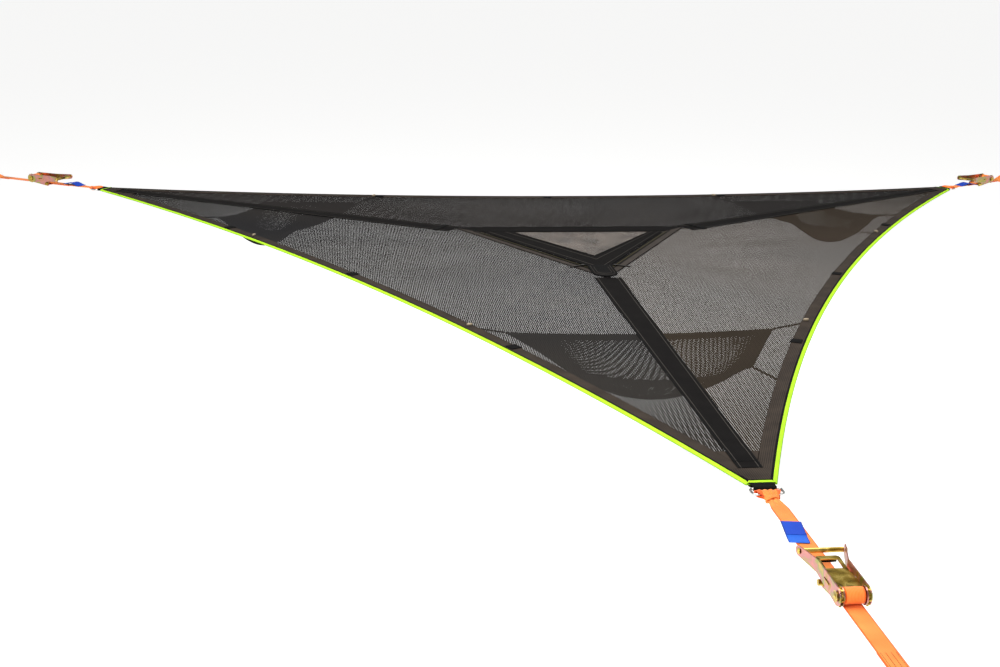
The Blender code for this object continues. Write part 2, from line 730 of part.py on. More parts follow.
def ring_tab(corner):
    """Webbing doubled round the ring's inner bar, on both faces of the corner patch."""
    half = TAPE_THICKNESS / 2
    wrap = RING_WIRE_RADIUS + SEAT_GAP + half
    upper = TAPE_BOTTOM + half
    lower = -BINDING_BELOW - SEAT_GAP - half
    edge = -CORNER_CUT[corner]
    start, bend = edge - TAB_START, edge + RING_INNER_BAR
    path = [(start, upper), (edge, upper), (bend - 0.010, upper)]
    path += arc((bend, 0.0), wrap, 90.0, -90.0, 8)
    path += [(bend - 0.010, lower), (edge, lower), (start, lower)]
    halves = [TAB_HALF_WIDTH if u <= edge else TAB_HALF_WIDTH_AT_RING for u, _ in path]
    return ribbon(path, halves, TAPE_THICKNESS)


def strap_ring(corner):
    """Oblong ring of round bar."""
    straight = RING_HALF_WIDTH - RING_CORNER_RADIUS
    low, high = RING_INNER_BAR - CORNER_CUT[corner], RING_OUTER_BAR - CORNER_CUT[corner]
    points = []
    for centre, start in (((high - RING_CORNER_RADIUS, straight), 0.0),
                          ((low + RING_CORNER_RADIUS, straight), 90.0),
                          ((low + RING_CORNER_RADIUS, -straight), 180.0),
                          ((high - RING_CORNER_RADIUS, -straight), 270.0)):
        points += arc(centre, RING_CORNER_RADIUS, start, start + 90.0, 4)
    return tube([(x, y, 0.0) for x, y in points], RING_WIRE_RADIUS, 8, closed=True)


def ring_bar(corner):
    """Where the ring's outer bar is on the strap's line."""
    return RING_OUTER_BAR - CORNER_CUT[corner]


def short_strap_path(corner):
    """From the sewn-back end, round the fixed bolt and back, then round the ring's outer bar."""
    bolt, bar = SPOOL_REACH[corner] - BOLT_BACK, ring_bar(corner)
    bolt_wrap = BOLT_RADIUS + SEAT_GAP + WEBBING_THICKNESS / 2
    ring_wrap = RING_WIRE_RADIUS + SEAT_GAP + WEBBING_THICKNESS / 2
    part = bolt_wrap * 5
    path = [(bolt - FOLD_BACK[corner], -PLY_OFFSET), (bolt - part, -PLY_OFFSET)]
    path += arc((bolt, 0.0), bolt_wrap, -100.0, 100.0, 10)
    path += [(bolt - part, PLY_OFFSET), (bar + HITCH_SPREAD, PLY_OFFSET),
             (bar + HITCH_START + HITCH_BAND_LENGTH, PLY_OFFSET), (bar + HITCH_START, PLY_OFFSET)]
    path += arc((bar, 0.0), ring_wrap, 60.0, 300.0, 10)
    path += [(bar + HITCH_START, -PLY_OFFSET),
             (bar + HITCH_START + HITCH_BAND_LENGTH, -PLY_OFFSET),
             (bar + HITCH_START + HITCH_BAND_LENGTH + HITCH_TAIL, -PLY_OFFSET)]
    return path


def short_strap(corner):
    """The hitched strap, and the band of it that passes round its own neck."""
    path = short_strap_path(corner)
    bar = ring_bar(corner)
    halves = []
    for u, _ in path:
        if u < bar + HITCH_START / 2:
            halves.append(HITCH_HALF_WIDTH)
        elif u < bar + HITCH_SPREAD:
            halves.append(NECK_HALF_WIDTH)
        else:
            halves.append(WEBBING_HALF)
    half, high = NECK_HALF_WIDTH + HITCH_BAND_THICKNESS, PLY_OFFSET + HITCH_BAND_THICKNESS
    low_end, high_end = bar + HITCH_START, bar + HITCH_START + HITCH_BAND_LENGTH
    outline = [(low_end, -half), (high_end, -half), (high_end, half), (low_end, half)]
    return ribbon(path, halves, WEBBING_THICKNESS), prism([outline], -high, high, plan)


def strap_label(corner):
    """Sewn-on label lying on the short strap."""
    half = LABEL_WIDTH / 2
    skew = math.radians(LABEL_SKEW)
    outline = []
    for a, b in ((0.0, -half), (LABEL_LENGTH, -half), (LABEL_LENGTH, half), (0.0, half)):
        outline.append((LABEL_START[corner] + a * math.cos(skew) - b * math.sin(skew),
                        a * math.sin(skew) + b * math.cos(skew)))
    low = PLY_OFFSET + WEBBING_THICKNESS / 2 + SEAT_GAP
    return prism([outline], low, low + LABEL_THICKNESS, plan)


def tree_strap(corner):
    """Taut strap from under the roll to its sewn eye."""
    end = ANCHOR_REACH[corner]
    wrap = EYE_RADIUS + WEBBING_THICKNESS / 2
    second_ply = -(WEBBING_THICKNESS + SEAT_GAP)
    start = SPOOL_REACH[corner]
    straight = end - EYE_NECK
    path = [(start + (straight - start) * i / 4, 0.0) for i in range(5)]
    path += arc((end, 0.0), wrap, 108.0, -114.0, 16)
    path += [(straight, second_ply), (straight - EYE_STITCHED, second_ply)]
    return ribbon(path, [WEBBING_HALF] * len(path), WEBBING_THICKNESS)


# Ratchet

def wound_path():
    """Middle line of the wound webbing: out of the shaft's slot, then a spiral to the bottom."""
    stop = -90.0
    start = stop - 360.0 * WOUND_TURNS
    slot_angle = math.radians(start - 35.0)
    slot = Vector((math.cos(slot_angle), math.sin(slot_angle)))
    steps = round(TURN_POINTS * WOUND_TURNS)
    spiral = []
    for i in range(steps + 1):
        radius = WOUND_START + (WOUND_END - WOUND_START) * i / steps
        angle = math.radians(start + (stop - start) * i / steps)
        spiral.append(Vector((math.cos(angle), math.sin(angle))) * radius)
    inner = slot * SHAFT_RADIUS * 0.8
    bend = slot * SHAFT_RADIUS * 1.44
    path = [slot * SHAFT_RADIUS * 0.1, inner]
    for i in range(1, 5):
        part = i / 5
        path.append(inner * (1 - part) ** 2 + bend * 2 * part * (1 - part) + spiral[0] * part ** 2)
    return path + spiral, slot_angle


def shaft():
    """Round bar with chamfered ends."""
    length = HANDLE_OUTER_HALF + SHAFT_OUT
    return turned([(-length, SHAFT_RADIUS - 0.001), (0.001 - length, SHAFT_RADIUS),
                   (length - 0.001, SHAFT_RADIUS), (length, SHAFT_RADIUS - 0.001)], 20)


def shaft_slot(slot_angle):
    """Cutter for the slot that the webbing passes through."""
    half, reach = SHAFT_SLOT / 2, SHAFT_RADIUS * 1.5
    along = Vector((math.cos(slot_angle), math.sin(slot_angle)))
    side = Vector((-along.y, along.x))
    outline = [along * a * reach + side * b * half for a, b in ((-1, -1), (1, -1), (1, 1), (-1, 1))]
    width = WEBBING_HALF + SLOT_SIDE_ROOM
    return prism([outline], -width, width, side_view)


def ratchet_wheel(low, high):
    """Toothed wheel with one tooth gap turned to the frame's arm."""
    pitch = 360.0 / WHEEL_TEETH
    gap_centre = 180.0 + math.degrees(ARM_ANGLE)
    outline = []
    for i in range(WHEEL_TEETH):
        tooth = gap_centre + pitch * (i + 0.5)
        for offset, radius in ((-TOOTH_ROOT_HALF_ANGLE, WHEEL_ROOT_RADIUS),
                               (-TOOTH_TIP_HALF_ANGLE, WHEEL_TIP_RADIUS),
                               (TOOTH_TIP_HALF_ANGLE, WHEEL_TIP_RADIUS),
                               (TOOTH_ROOT_HALF_ANGLE, WHEEL_ROOT_RADIUS)):
            outline += arc((0.0, 0.0), radius, tooth + offset, tooth + offset, 1)[:1]
    return prism([outline], low, high, side_view)


def frame_plate(low, high):
    """Side plate: a round hub on the spool's axis and an arm to the fixed bolt."""
    bolt = (-BOLT_BACK, -SPOOL_HEIGHT)
    outline = arc((0.0, 0.0), FRAME_HUB_RADIUS, 184.0, -98.0, 22)
    outline += arc(bolt, FRAME_BOLT_RADIUS, 262.0, 95.0, 10)
    hub_hole = circle((0.0, 0.0), SHAFT_RADIUS + RUNNING_GAP, 16)
    bolt_hole = circle(bolt, BOLT_RADIUS + RUNNING_GAP, 12)
    slot_half = PAWL_THICKNESS / 2 + RUNNING_GAP
    first, last = LOCK_SHOULDER - RUNNING_GAP, LOCK_END + LOCK_TRAVEL + RUNNING_GAP
    slot = []
    for d, v in ((first, -slot_half), (last, -slot_half), (last, slot_half), (first, slot_half)):
        u, _, w = arm_plan(d, 0.0, v)
        slot.append((u, w))
    return prism([outline, hub_hole[::-1], bolt_hole[::-1], slot], low, high, side_view)


def frame_web():
    """Cross web under the strap, between the two side plates."""
    half = FRAME_INNER_HALF + FRAME_PLATE / 2
    outline = [(FRAME_WEB_FROM, -half), (FRAME_WEB_TO, -half), (FRAME_WEB_TO, half),
               (FRAME_WEB_FROM, half)]
    return prism([outline], FRAME_WEB_DROP - FRAME_PLATE, FRAME_WEB_DROP, arm_plan)


def fixed_bolt():
    """Bolt with its head and nut outside the frame's plates."""
    inner = FRAME_OUTER_HALF + RUNNING_GAP
    washer = inner + WASHER_THICKNESS
    outer = washer + BOLT_HEAD_LENGTH
    half = [(inner, BOLT_RADIUS), (inner, WASHER_RADIUS), (washer, WASHER_RADIUS),
            (washer, BOLT_HEAD_RADIUS), (outer, BOLT_HEAD_RADIUS)]
    profile = [(-t, radius) for t, radius in reversed(half)] + half
    return moved(turned(profile, 12), Matrix.Translation((-BOLT_BACK, 0.0, -SPOOL_HEIGHT)))


def capsule(first, first_radius, second, second_radius, steps):
    """Two circles on the h axis and their common tangents."""
    lean = math.degrees(math.asin((first_radius - second_radius) / (second - first)))
    outline = arc((first, 0.0), first_radius, 90.0 - lean, 270.0 + lean, steps)
    return outline + arc((second, 0.0), second_radius, -90.0 + lean, 90.0 - lean, steps // 2)


def handle_plate(side):
    """Side plate of the handle.  It is flat to the crease and flares from there to the grip."""
    outline = capsule(0.0, HANDLE_HUB_RADIUS, HANDLE_LENGTH, HANDLE_END_RADIUS, 14)
    hub_hole = circle((0.0, 0.0), SHAFT_RADIUS + RUNNING_GAP, 16)
    slot_half = PAWL_THICKNESS / 2 + RUNNING_GAP
    first, last = PAWL_EAR_FROM - RUNNING_GAP, PAWL_EAR_TO + PAWL_TRAVEL + RUNNING_GAP
    slot = [(first, -slot_half), (last, -slot_half), (last, slot_half), (first, slot_half)]

    def flat(h, v, t):
        return (h, t, v)

    vertices, faces = prism([outline, hub_hole[::-1], slot], HANDLE_INNER_HALF,
                            HANDLE_OUTER_HALF, flat)
    editable = bmesh.new()
    corners = [editable.verts.new(vertex) for vertex in vertices]
    for face in faces:
        editable.faces.new([corners[index] for index in face])
    everything = editable.verts[:] + editable.edges[:] + editable.faces[:]
    bmesh.ops.bisect_plane(editable, geom=everything, plane_co=(HANDLE_CREASE, 0.0, 0.0),
                           plane_no=(1.0, 0.0, 0.0))
    editable.verts.index_update()
    slope = HANDLE_FLARE / (HANDLE_LENGTH - HANDLE_CREASE)
    bent = []
    for corner in editable.verts:
        h, t, v = corner.co
        t += slope * max(0.0, h - HANDLE_CREASE)
        bent.append(handle_view(h, v, side * t))
    sides = [tuple(vertex.index for vertex in face.verts) for face in editable.faces]
    editable.free()
    return bent, sides


def handle_bridge():
    """Cross strip under the drive pawl, between the handle's plates."""
    high = -PAWL_THICKNESS / 2 - RUNNING_GAP
    half = HANDLE_INNER_HALF + HANDLE_PLATE / 2
    outline = [(BRIDGE_AT, -half), (BRIDGE_AT + BRIDGE_WIDTH, -half),
               (BRIDGE_AT + BRIDGE_WIDTH, half), (BRIDGE_AT, half)]
    return prism([outline], high - BRIDGE_THICKNESS, high, handle_plan)


def grip_bar():
    """Bar between the flared ends of the handle's plates."""
    slope = HANDLE_FLARE / (HANDLE_LENGTH - HANDLE_CREASE)
    reach = HANDLE_INNER_HALF + slope * (HANDLE_LENGTH - GRIP_RADIUS - HANDLE_CREASE) - SEAT_GAP
    u, _, w = handle_view(HANDLE_LENGTH, 0.0, 0.0)
    return moved(turned([(-reach, GRIP_RADIUS), (reach, GRIP_RADIUS)], 12),
                 Matrix.Translation((u, 0.0, w)))


def drive_pawl():
    """Sliding plate in the handle, with ears in the handle's slots and a finger window."""
    tip = WHEEL_TIP_RADIUS + PAWL_TIP_CLEARANCE
    ear = HANDLE_OUTER_HALF + PAWL_EAR_OUT
    half_side = [(tip, PAWL_HALF), (PAWL_EAR_FROM, PAWL_HALF), (PAWL_EAR_FROM, ear),
                 (PAWL_EAR_TO, ear), (PAWL_EAR_TO, PAWL_HALF), (PAWL_BODY_END, PAWL_HALF),
                 (PAWL_BODY_END + 0.006, PAWL_TAIL_HALF)]
    corner = 0.008
    half_side += arc((PAWL_END - corner, PAWL_TAIL_HALF - corner), corner, 90.0, 0.0, 4)
    outline = half_side + [(h, -t) for h, t in reversed(half_side)]
    finger = [(FINGER_FROM, -FINGER_HALF), (FINGER_TO, -FINGER_HALF), (FINGER_TO, FINGER_HALF),
              (FINGER_FROM, FINGER_HALF)]
    half = PAWL_THICKNESS / 2
    return prism([outline, finger], -half, half, handle_plan)


def lock_pawl():
    """Sliding plate in the frame's slots, with a finger in a tooth gap of each wheel."""
    tip = WHEEL_ROOT_RADIUS + LOCK_DEPTH
    inner = FRAME_INNER_HALF - RUNNING_GAP
    middle = ROLL_RADIUS + 5 * RUNNING_GAP
    half_side = [(middle, inner), (LOCK_SHOULDER, inner), (LOCK_SHOULDER, WHEEL_INNER_HALF),
                 (tip, WHEEL_INNER_HALF), (tip, WHEEL_OUTER_HALF), (LOCK_END, WHEEL_OUTER_HALF)]
    outline = half_side + [(d, -t) for d, t in reversed(half_side)]
    half = PAWL_THICKNESS / 2
    return prism([outline], -half, half, arm_plan)


def least_gap(points, thickness, skip):
    """Least free space between stretches of a wound piece that are skip or more points apart."""
    gap = min((points[i] - points[j]).length for i in range(len(points))
              for j in range(i + skip, len(points)))
    return gap - thickness


def build_ratchet(corner, gold, pink, webbing):
    """The whole ratchet of one corner, on an empty at its spool's axis."""
    frame = corner_frame(corner)
    axis = frame @ Matrix.Translation((SPOOL_REACH[corner], 0.0, SPOOL_HEIGHT))
    parent = pivot("ratchet_axis_" + corner, axis)
    path, slot_angle = wound_path()

    plates = make("ratchet_frame_" + corner, [frame_plate(FRAME_INNER_HALF, FRAME_OUTER_HALF),
                  frame_plate(-FRAME_OUTER_HALF, -FRAME_INNER_HALF)], pink, parent)
    join(plates, make("frame_web_" + corner, [frame_web()], pink, parent))
    spool = make("spool_" + corner, [shaft()], gold, parent, smooth=True)
    for side, low in (("a", WHEEL_INNER_HALF), ("b", -WHEEL_OUTER_HALF)):
        join(spool, make("wheel_%s_%s" % (side, corner),
                         [ratchet_wheel(low, low + WHEEL_THICKNESS)], gold, parent))
    join(spool, make("shaft_slot_" + corner, [shaft_slot(slot_angle)], gold, parent),
         "DIFFERENCE")
    make("wound_webbing_" + corner, [ribbon(path, [WEBBING_HALF] * len(path), WEBBING_THICKNESS)],
         webbing, parent)
    handle = make("handle_" + corner, [handle_plate(1), handle_plate(-1)], pink, parent)
    join(handle, make("handle_bridge_" + corner, [handle_bridge()], pink, parent))
    make("grip_bar_" + corner, [grip_bar()], gold, parent, smooth=True)
    make("drive_pawl_" + corner, [drive_pawl()], gold, parent)
    make("lock_pawl_" + corner, [lock_pawl()], gold, parent)
    make("fixed_bolt_" + corner, [fixed_bolt()], gold, parent, smooth=True)


def build_straps(black, steel, orange, blue, gold, pink):
    for corner in CORNER_ANGLE:
        frame = corner_frame(corner)
        build_ratchet(corner, gold, pink, orange)
        make("ring_tab_" + corner, [moved(ring_tab(corner), frame)], black)
        make("strap_ring_" + corner, [moved(strap_ring(corner), frame)], steel, smooth=True)
        make("strap_label_" + corner, [moved(strap_label(corner), frame)], blue)
        strap, band = short_strap(corner)
        hitched = make("short_strap_" + corner, [moved(strap, frame)], orange)
        join(hitched, make("hitch_band_" + corner, [moved(band, frame)], orange))
        make("tree_strap_" + corner, [moved(tree_strap(corner), frame)], orange)


def main():
    clear_scene()
    cloth = finish("mesh cloth", (0.135, 0.130, 0.125), 0.0, 0.85)
    net = finish("coarse net", (0.030, 0.029, 0.028), 0.0, 0.90)
    band = finish("black band", (0.022, 0.021, 0.020), 0.0, 0.85)
    hem = finish("hem cloth", (0.042, 0.036, 0.031), 0.0, 0.85)
    neon = finish("neon binding", (0.560, 1.000, 0.030), 0.0, 0.70)
    black = finish("black webbing", (0.010, 0.010, 0.010), 0.0, 0.75)
    orange = finish("orange webbing", (1.000, 0.220, 0.030), 0.0, 0.65)
    blue = finish("blue label", (0.010, 0.130, 0.780), 0.0, 0.55)
    gold = finish("yellow zinc plate", (0.480, 0.330, 0.080), 1.0, 0.32)
    pink = finish("iridescent zinc plate", (0.680, 0.370, 0.250), 1.0, 0.34)
    steel = finish("polished steel", (0.620, 0.620, 0.610), 1.0, 0.20)
    build_bed(cloth, band, hem, neon)
    build_hatch(cloth, band, black, steel)
    build_nets(net)
    build_straps(black, steel, orange, blue, gold, pink)
    path, _ = wound_path()
    print("least gap between turns of the wound webbing: %.2f mm"
          % (1000 * least_gap(path[6:], WEBBING_THICKNESS, TURN_POINTS // 2)))


main()
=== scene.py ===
"""Triangle hammock: the looks of the mesh bed, its hatch, nets, straps and ratchets."""
from math import asin, cos, pi, radians, sin, sqrt

import bpy
import numpy as np
from mathutils import Matrix, Vector


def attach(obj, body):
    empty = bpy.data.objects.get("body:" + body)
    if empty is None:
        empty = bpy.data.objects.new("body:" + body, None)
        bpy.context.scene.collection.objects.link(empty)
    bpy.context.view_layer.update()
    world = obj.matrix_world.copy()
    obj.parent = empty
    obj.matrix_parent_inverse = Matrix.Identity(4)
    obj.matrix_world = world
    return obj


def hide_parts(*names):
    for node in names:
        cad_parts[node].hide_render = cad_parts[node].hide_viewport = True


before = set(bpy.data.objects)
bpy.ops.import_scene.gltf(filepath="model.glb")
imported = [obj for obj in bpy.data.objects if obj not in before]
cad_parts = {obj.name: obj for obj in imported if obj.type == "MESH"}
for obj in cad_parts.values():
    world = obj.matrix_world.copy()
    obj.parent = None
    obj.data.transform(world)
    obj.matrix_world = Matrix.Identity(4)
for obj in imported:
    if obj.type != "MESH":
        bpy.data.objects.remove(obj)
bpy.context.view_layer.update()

MM = 0.001

# The bed's plan, as in the solids
SIDE = 4.100
CORNER_ANGLE = {"front": -90.0, "right": 30.0, "left": 150.0}
EDGES = (("front", "right"), ("right", "left"), ("left", "front"))
EDGE_HOLLOW = dict(zip(EDGES, (0.190, 0.240, 0.178)))
CORNER_CUT = {"front": 0.098, "right": 0.128, "left": 0.112}
MESH_INSET = 0.0123
HEM_WIDTH = 0.038
PATCH_DEPTH = 0.185
BAND_LOW, BAND_TOP = 0.9 * MM, 2.4 * MM
BAND_HALF = (0.048, 0.028)        # at the hatch and at the corner
BAND_END = 0.082
HATCH_INRADIUS = 0.215
BORDER_SIDE, BORDER_FAR = 0.043, 0.085
SEAT_GAP = 0.0003
APEX_RADIUS = SIDE / sqrt(3)

# Storage nets: (hem nearer the bed's middle, hem nearer the corner)
FRONT_NET = dict(reach=(1.322, 1.040), half=(0.420, 0.270), drop=(0.022, 0.050),
                 sag=(0.012, 0.035), anchor=(0.342, 0.197), belly=0.097, push=0.0)
SIDE_NET = dict(reach=(1.200, 0.830), half=(0.350, 0.180), drop=(0.014, 0.018),
                sag=(0.030, 0.014), anchor=(0.313, 0.207), belly=0.118, push=0.030)
NETS = {"front": FRONT_NET, "right": SIDE_NET, "left": SIDE_NET}
NET_ANCHOR_INSET = 0.038
NET_CORD = 0.0050

# Straps and ratchets, as in the solids
WEBBING_HALF = 0.019
WEBBING_THICKNESS = 0.0015
PLY_OFFSET = 0.0009
RING_INNER_BAR, RING_OUTER_BAR = 0.023, 0.053
RING_WIRE = 0.0030
SPOOL_REACH = {"front": 0.438, "left": 0.283, "right": 0.2235}
FOLD_BACK = {"front": 0.245, "left": 0.120, "right": 0.080}
ANCHOR_REACH = {"front": 0.735, "left": 0.560, "right": 0.390}
BOLT_BACK, BOLT_RADIUS = 0.086, 0.0050
EYE_RADIUS, EYE_NECK, EYE_STITCHED = 0.022, 0.075, 0.060
LABEL_START = {"front": 0.098, "left": 0.020, "right": 0.000}
LABEL_HALF, LABEL_LENGTH = 0.021, 0.099
LABEL_SKEW = radians(-8.5)
SHAFT_RADIUS, SHAFT_CLEARANCE = 0.0080, 0.0009
WOUND_GAP, WOUND_TURNS = 0.0005, 3.25
SPOOL_HEIGHT = 0.01795
HANDLE_LENGTH = 0.161
HANDLE_ANGLE = asin(0.010 / HANDLE_LENGTH)
HANDLE_OUTER = 0.0301             # handle's plates, out from the strap's line
HANDLE_FLARE = 0.0163
THREAD_RADIUS = 0.0004


# Plan of the bed

def direction(corner):
    angle = radians(CORNER_ANGLE[corner])
    return Vector((cos(angle), sin(angle)))


def across(corner):
    return direction(corner).orthogonal()


def edge_point(edge, share, inset=0.0):
    first, second = (direction(corner) * APEX_RADIUS for corner in edge)
    chord = second - first
    hollow = chord.orthogonal().normalized() * 4 * EDGE_HOLLOW[edge]
    tangent = (chord + hollow * (1 - 2 * share)).normalized()
    return first + chord * share + hollow * share * (1 - share) + tangent.orthogonal() * inset


def share_at(edge, corner, inset, distance):
    """Share of an edge at a distance behind the tip of one of its corners."""
    low, high = (0.0, 0.5) if corner == edge[0] else (1.0, 0.5)
    tip = direction(corner) * APEX_RADIUS
    for _ in range(40):
        middle = (low + high) / 2
        if (tip - edge_point(edge, middle, inset)).dot(direction(corner)) < distance:
            low = middle
        else:
            high = middle
    return (low + high) / 2


def edge_curve(edge, inset, past_cut, steps=96):
    start, stop = (share_at(edge, corner, inset, CORNER_CUT[corner] + past_cut) for corner in edge)
    return [edge_point(edge, start + (stop - start) * i / steps, inset) for i in range(steps + 1)]


def edges_at(corner):
    return [next(edge for edge in EDGES if edge[end] == corner) for end in (0, 1)]


def corner_middle(corner, past_cut=0.0):
    distance = CORNER_CUT[corner] + past_cut
    first, last = (edge_point(edge, share_at(edge, corner, 0.0, distance))
                   for edge in edges_at(corner))
    return (first + last).dot(across(corner)) / 2


BED_CENTRE = (-direction("front") * (APEX_RADIUS + ANCHOR_REACH["front"])
              - across("front") * corner_middle("front"))


def corner_frame(corner):
    """Apex frame: u outwards along the strap, t across it, w up."""
    out, side = direction(corner), across(corner)
    point = out * APEX_RADIUS + side * corner_middle(corner) + BED_CENTRE
    return Matrix(((out.x, side.x, 0.0, point.x), (out.y, side.y, 0.0, point.y),
                   (0.0, 0.0, 1.0, 0.0), (0.0, 0.0, 0.0, 1.0)))


def linked(name, data):
    """A new object, linked into the scene."""
    thing = bpy.data.objects.new(name, data)
    bpy.context.scene.collection.objects.link(thing)
    return thing


# The camera stands where the photograph was taken from
yaw, pitch, roll = 0.1198, -0.2979, 0.0217
forward = Vector((sin(yaw) * cos(pitch), cos(yaw) * cos(pitch), sin(pitch)))
level = Vector((cos(yaw), -sin(yaw), 0.0))
upright = level.cross(forward)
right_side = level * cos(roll) + upright * sin(roll)
up_side = upright * cos(roll) - level * sin(roll)
camera = linked("camera", bpy.data.cameras.new("camera"))
camera.data.lens = 47.48
camera.data.sensor_width = 36.0
camera.data.clip_end = 200.0
camera.matrix_world = Matrix.Translation((BED_CENTRE.x - 0.8905, -1.7326, 1.1451)) @ Matrix((
    right_side, up_side, -forward)).transposed().to_4x4()
bpy.context.scene.camera = camera


# Materials

def srgb(code):
    """Linear colour of a hex code, with alpha 1."""
    values = [int(code[i:i + 2], 16) / 255 for i in (1, 3, 5)]
    return (*(v / 12.92 if v <= 0.04045 else ((v + 0.055) / 1.055) ** 2.4 for v in values), 1.0)


def add(tree, kind, inputs, output=0, stops=(), to=None, **settings):
    """A node with its settings, values, links and colour stops.  Gives one of its outputs."""
    made = tree.nodes.new("ShaderNode" + kind)
    for name, value in settings.items():
        setattr(made, name, value)
    for key, value in inputs.items():
        if isinstance(value, bpy.types.NodeSocket):
            tree.links.new(value, made.inputs[key])
        else:
            made.inputs[key].default_value = value
    for _ in stops[2:]:
        made.color_ramp.elements.new(0.5)
    for i, (place, code) in enumerate(stops):
        element = made.color_ramp.elements[i]
        element.position, element.color = place, srgb(code)
    if to:
        tree.links.new(made.outputs[output], to)
    return made.outputs[output]


def begin(name, roughness, **inputs):
    """A new material: itself, its node tree and its shader's sockets."""
    material = bpy.data.materials.new(name)
    material.use_nodes = True
    sockets = material.node_tree.nodes["Principled BSDF"].inputs
    sockets["Roughness"].default_value = roughness
    for label, value in inputs.items():
        sockets[label.replace("_", " ")].default_value = value
    return material, material.node_tree, sockets


def lay_coordinates(tree):
    """How far a point lies along and across the cut cloth, in metres."""
    place = add(tree, "UVMap", {}, output="UV", uv_map="lay")
    along = add(tree, "SeparateXYZ", {"Vector": place}, output="X")
    return place, along, along.node.outputs["Y"]


def wave(tree, distance, pitch):
    """Sine from 0 to 1 with one wave for each pitch."""
    turns = add(tree, "Math", {0: distance, 1: 2 * pi / pitch}, operation="MULTIPLY")
    swing = add(tree, "Math", {0: turns}, operation="SINE")
    return add(tree, "Math", {0: swing, 1: 0.5, 2: 0.5}, operation="MULTIPLY_ADD")


def knit_mesh(name, colours, rib_share, hole_share, closing=0.0, drift=0.9):
    """Warp-knit polyester mesh: ribs with holes between them, every second rib heavier.

    The real cells are near 2 mm; they are drawn as coarse as they need to be to show.
    Towards the corners, metres from the middle, the pull draws them together.
    """
    rib_pitch, hole_pitch, heavier = 6.0 * MM, 4.5 * MM, 0.24
    material, tree, sockets = begin(name, 0.75, Specular_IOR_Level=0.10)
    place, along, over = lay_coordinates(tree)
    reach = add(tree, "VectorMath", {0: place}, output="Value", operation="LENGTH")
    lowest = rib_share - heavier / 2
    share = add(tree, "MapRange", {"Value": reach, "From Min": 0.9, "From Max": 2.0,
                                   "To Min": lowest, "To Max": lowest + closing})
    slant = add(tree, "Math", {0: along, 1: 0.12, 2: over}, operation="MULTIPLY_ADD")
    pulled = add(tree, "Math", {0: wave(tree, slant, 2.09 * rib_pitch), 1: heavier, 2: share},
                 operation="MULTIPLY_ADD")
    ribs = add(tree, "Math", {0: wave(tree, over, rib_pitch), 1: pulled}, operation="GREATER_THAN")
    holes = add(tree, "Math", {0: wave(tree, along, hole_pitch), 1: hole_share},
                operation="GREATER_THAN")
    hole = add(tree, "Math", {0: ribs, 1: holes}, operation="MULTIPLY")
    add(tree, "Math", {0: 1.0, 1: hole}, to=sockets["Alpha"], operation="SUBTRACT")
    cloud = add(tree, "TexNoise", {"Vector": place, "Scale": drift, "Detail": 3.0})
    add(tree, "ValToRGB", {"Fac": cloud}, stops=((0.38, colours[0]), (0.62, colours[1])),
        to=sockets["Base Color"])
    return material


def woven(name, colours, roughness, specular, pitch, depth, lengthwise=True, selvedge=None):
    """Woven tape: ribs of a pitch and depth in mm, picks across them and uneven dye.

    selvedge is where its darker edges begin, in mm from the middle line, and their colour.
    """
    material, tree, sockets = begin(name, roughness, Specular_IOR_Level=specular)
    place, along, over = lay_coordinates(tree)
    ribs = add(tree, "Math", {0: wave(tree, over if lengthwise else along, pitch * MM), 1: 0.65},
               operation="MULTIPLY")
    picks = wave(tree, along if lengthwise else over, 0.7 * pitch * MM)
    weave = add(tree, "Math", {0: picks, 1: 0.35, 2: ribs}, operation="MULTIPLY_ADD")
    cloud = add(tree, "TexNoise", {"Vector": place, "Scale": 18.0, "Detail": 4.0})
    dye = add(tree, "Math", {0: cloud, 1: 0.55}, operation="MULTIPLY")
    mixed = add(tree, "Math", {0: weave, 1: 0.45, 2: dye}, operation="MULTIPLY_ADD")
    colour = add(tree, "ValToRGB", {"Fac": mixed}, stops=((0.25, colours[0]), (0.75, colours[1])))
    if selvedge:
        start, edge_colour = selvedge
        distance = add(tree, "Math", {0: over}, operation="ABSOLUTE")
        beyond = add(tree, "MapRange", {"Value": distance, "From Min": (start - 1.2) * MM,
                                        "From Max": (start + 0.4) * MM})
        colour = add(tree, "Mix", {0: beyond, 6: colour, 7: srgb(edge_colour)}, output=2,
                     data_type="RGBA")
    tree.links.new(colour, sockets["Base Color"])
    add(tree, "Bump", {"Height": weave, "Distance": depth * MM, "Strength": 0.9},
        to=sockets["Normal"])
    return material


def zinc_plate(name, colours, roughness, scale):
    """Plated steel: the film's thickness drifts over the metal, and its colour with it."""
    material, tree, sockets = begin(name, roughness[0], Metallic=1.0)
    place = add(tree, "TexCoord", {}, output="Object")
    drift = add(tree, "TexNoise", {"Vector": place, "Scale": scale, "Detail": 2.0,
                                   "Distortion": 0.7})
    add(tree, "ValToRGB", {"Fac": drift}, to=sockets["Base Color"], stops=[
        (0.30 + 0.40 * i / (len(colours) - 1), code) for i, code in enumerate(colours)])
    fine = add(tree, "TexNoise", {"Vector": place, "Scale": 900.0, "Detail": 4.0})
    add(tree, "MapRange", {"Value": fine, "To Min": roughness[0], "To Max": roughness[1]},
        to=sockets["Roughness"])
    add(tree, "Bump", {"Height": fine, "Distance": 0.05 * MM, "Strength": 0.4},
        to=sockets["Normal"])
    return material


# Polyester mesh, dyed in the yarn: matt, and see-through where the eye looks down into it.
# Its ribs run another way in each panel. The threads' colour is painted light: the right panel's
# threads are painted lighter and warmer, as if lit from the right, the far panel's darkest, in
# painted shade, and the left panel's between.
MESH_CLOTH_PAINTED_LIGHT = {
    EDGES[0]: knit_mesh("knit_mesh_right_painted_lit", ("#2c251c", "#3b3127"), 0.56, 0.37, 0.27),
    EDGES[1]: knit_mesh("knit_mesh_far_painted_shade", ("#1c1a19", "#272321"), 0.78, 0.53, 0.06),
    EDGES[2]: knit_mesh("knit_mesh_left_painted_shade", ("#201f20", "#2c2926"), 0.62, 0.45, 0.28)}
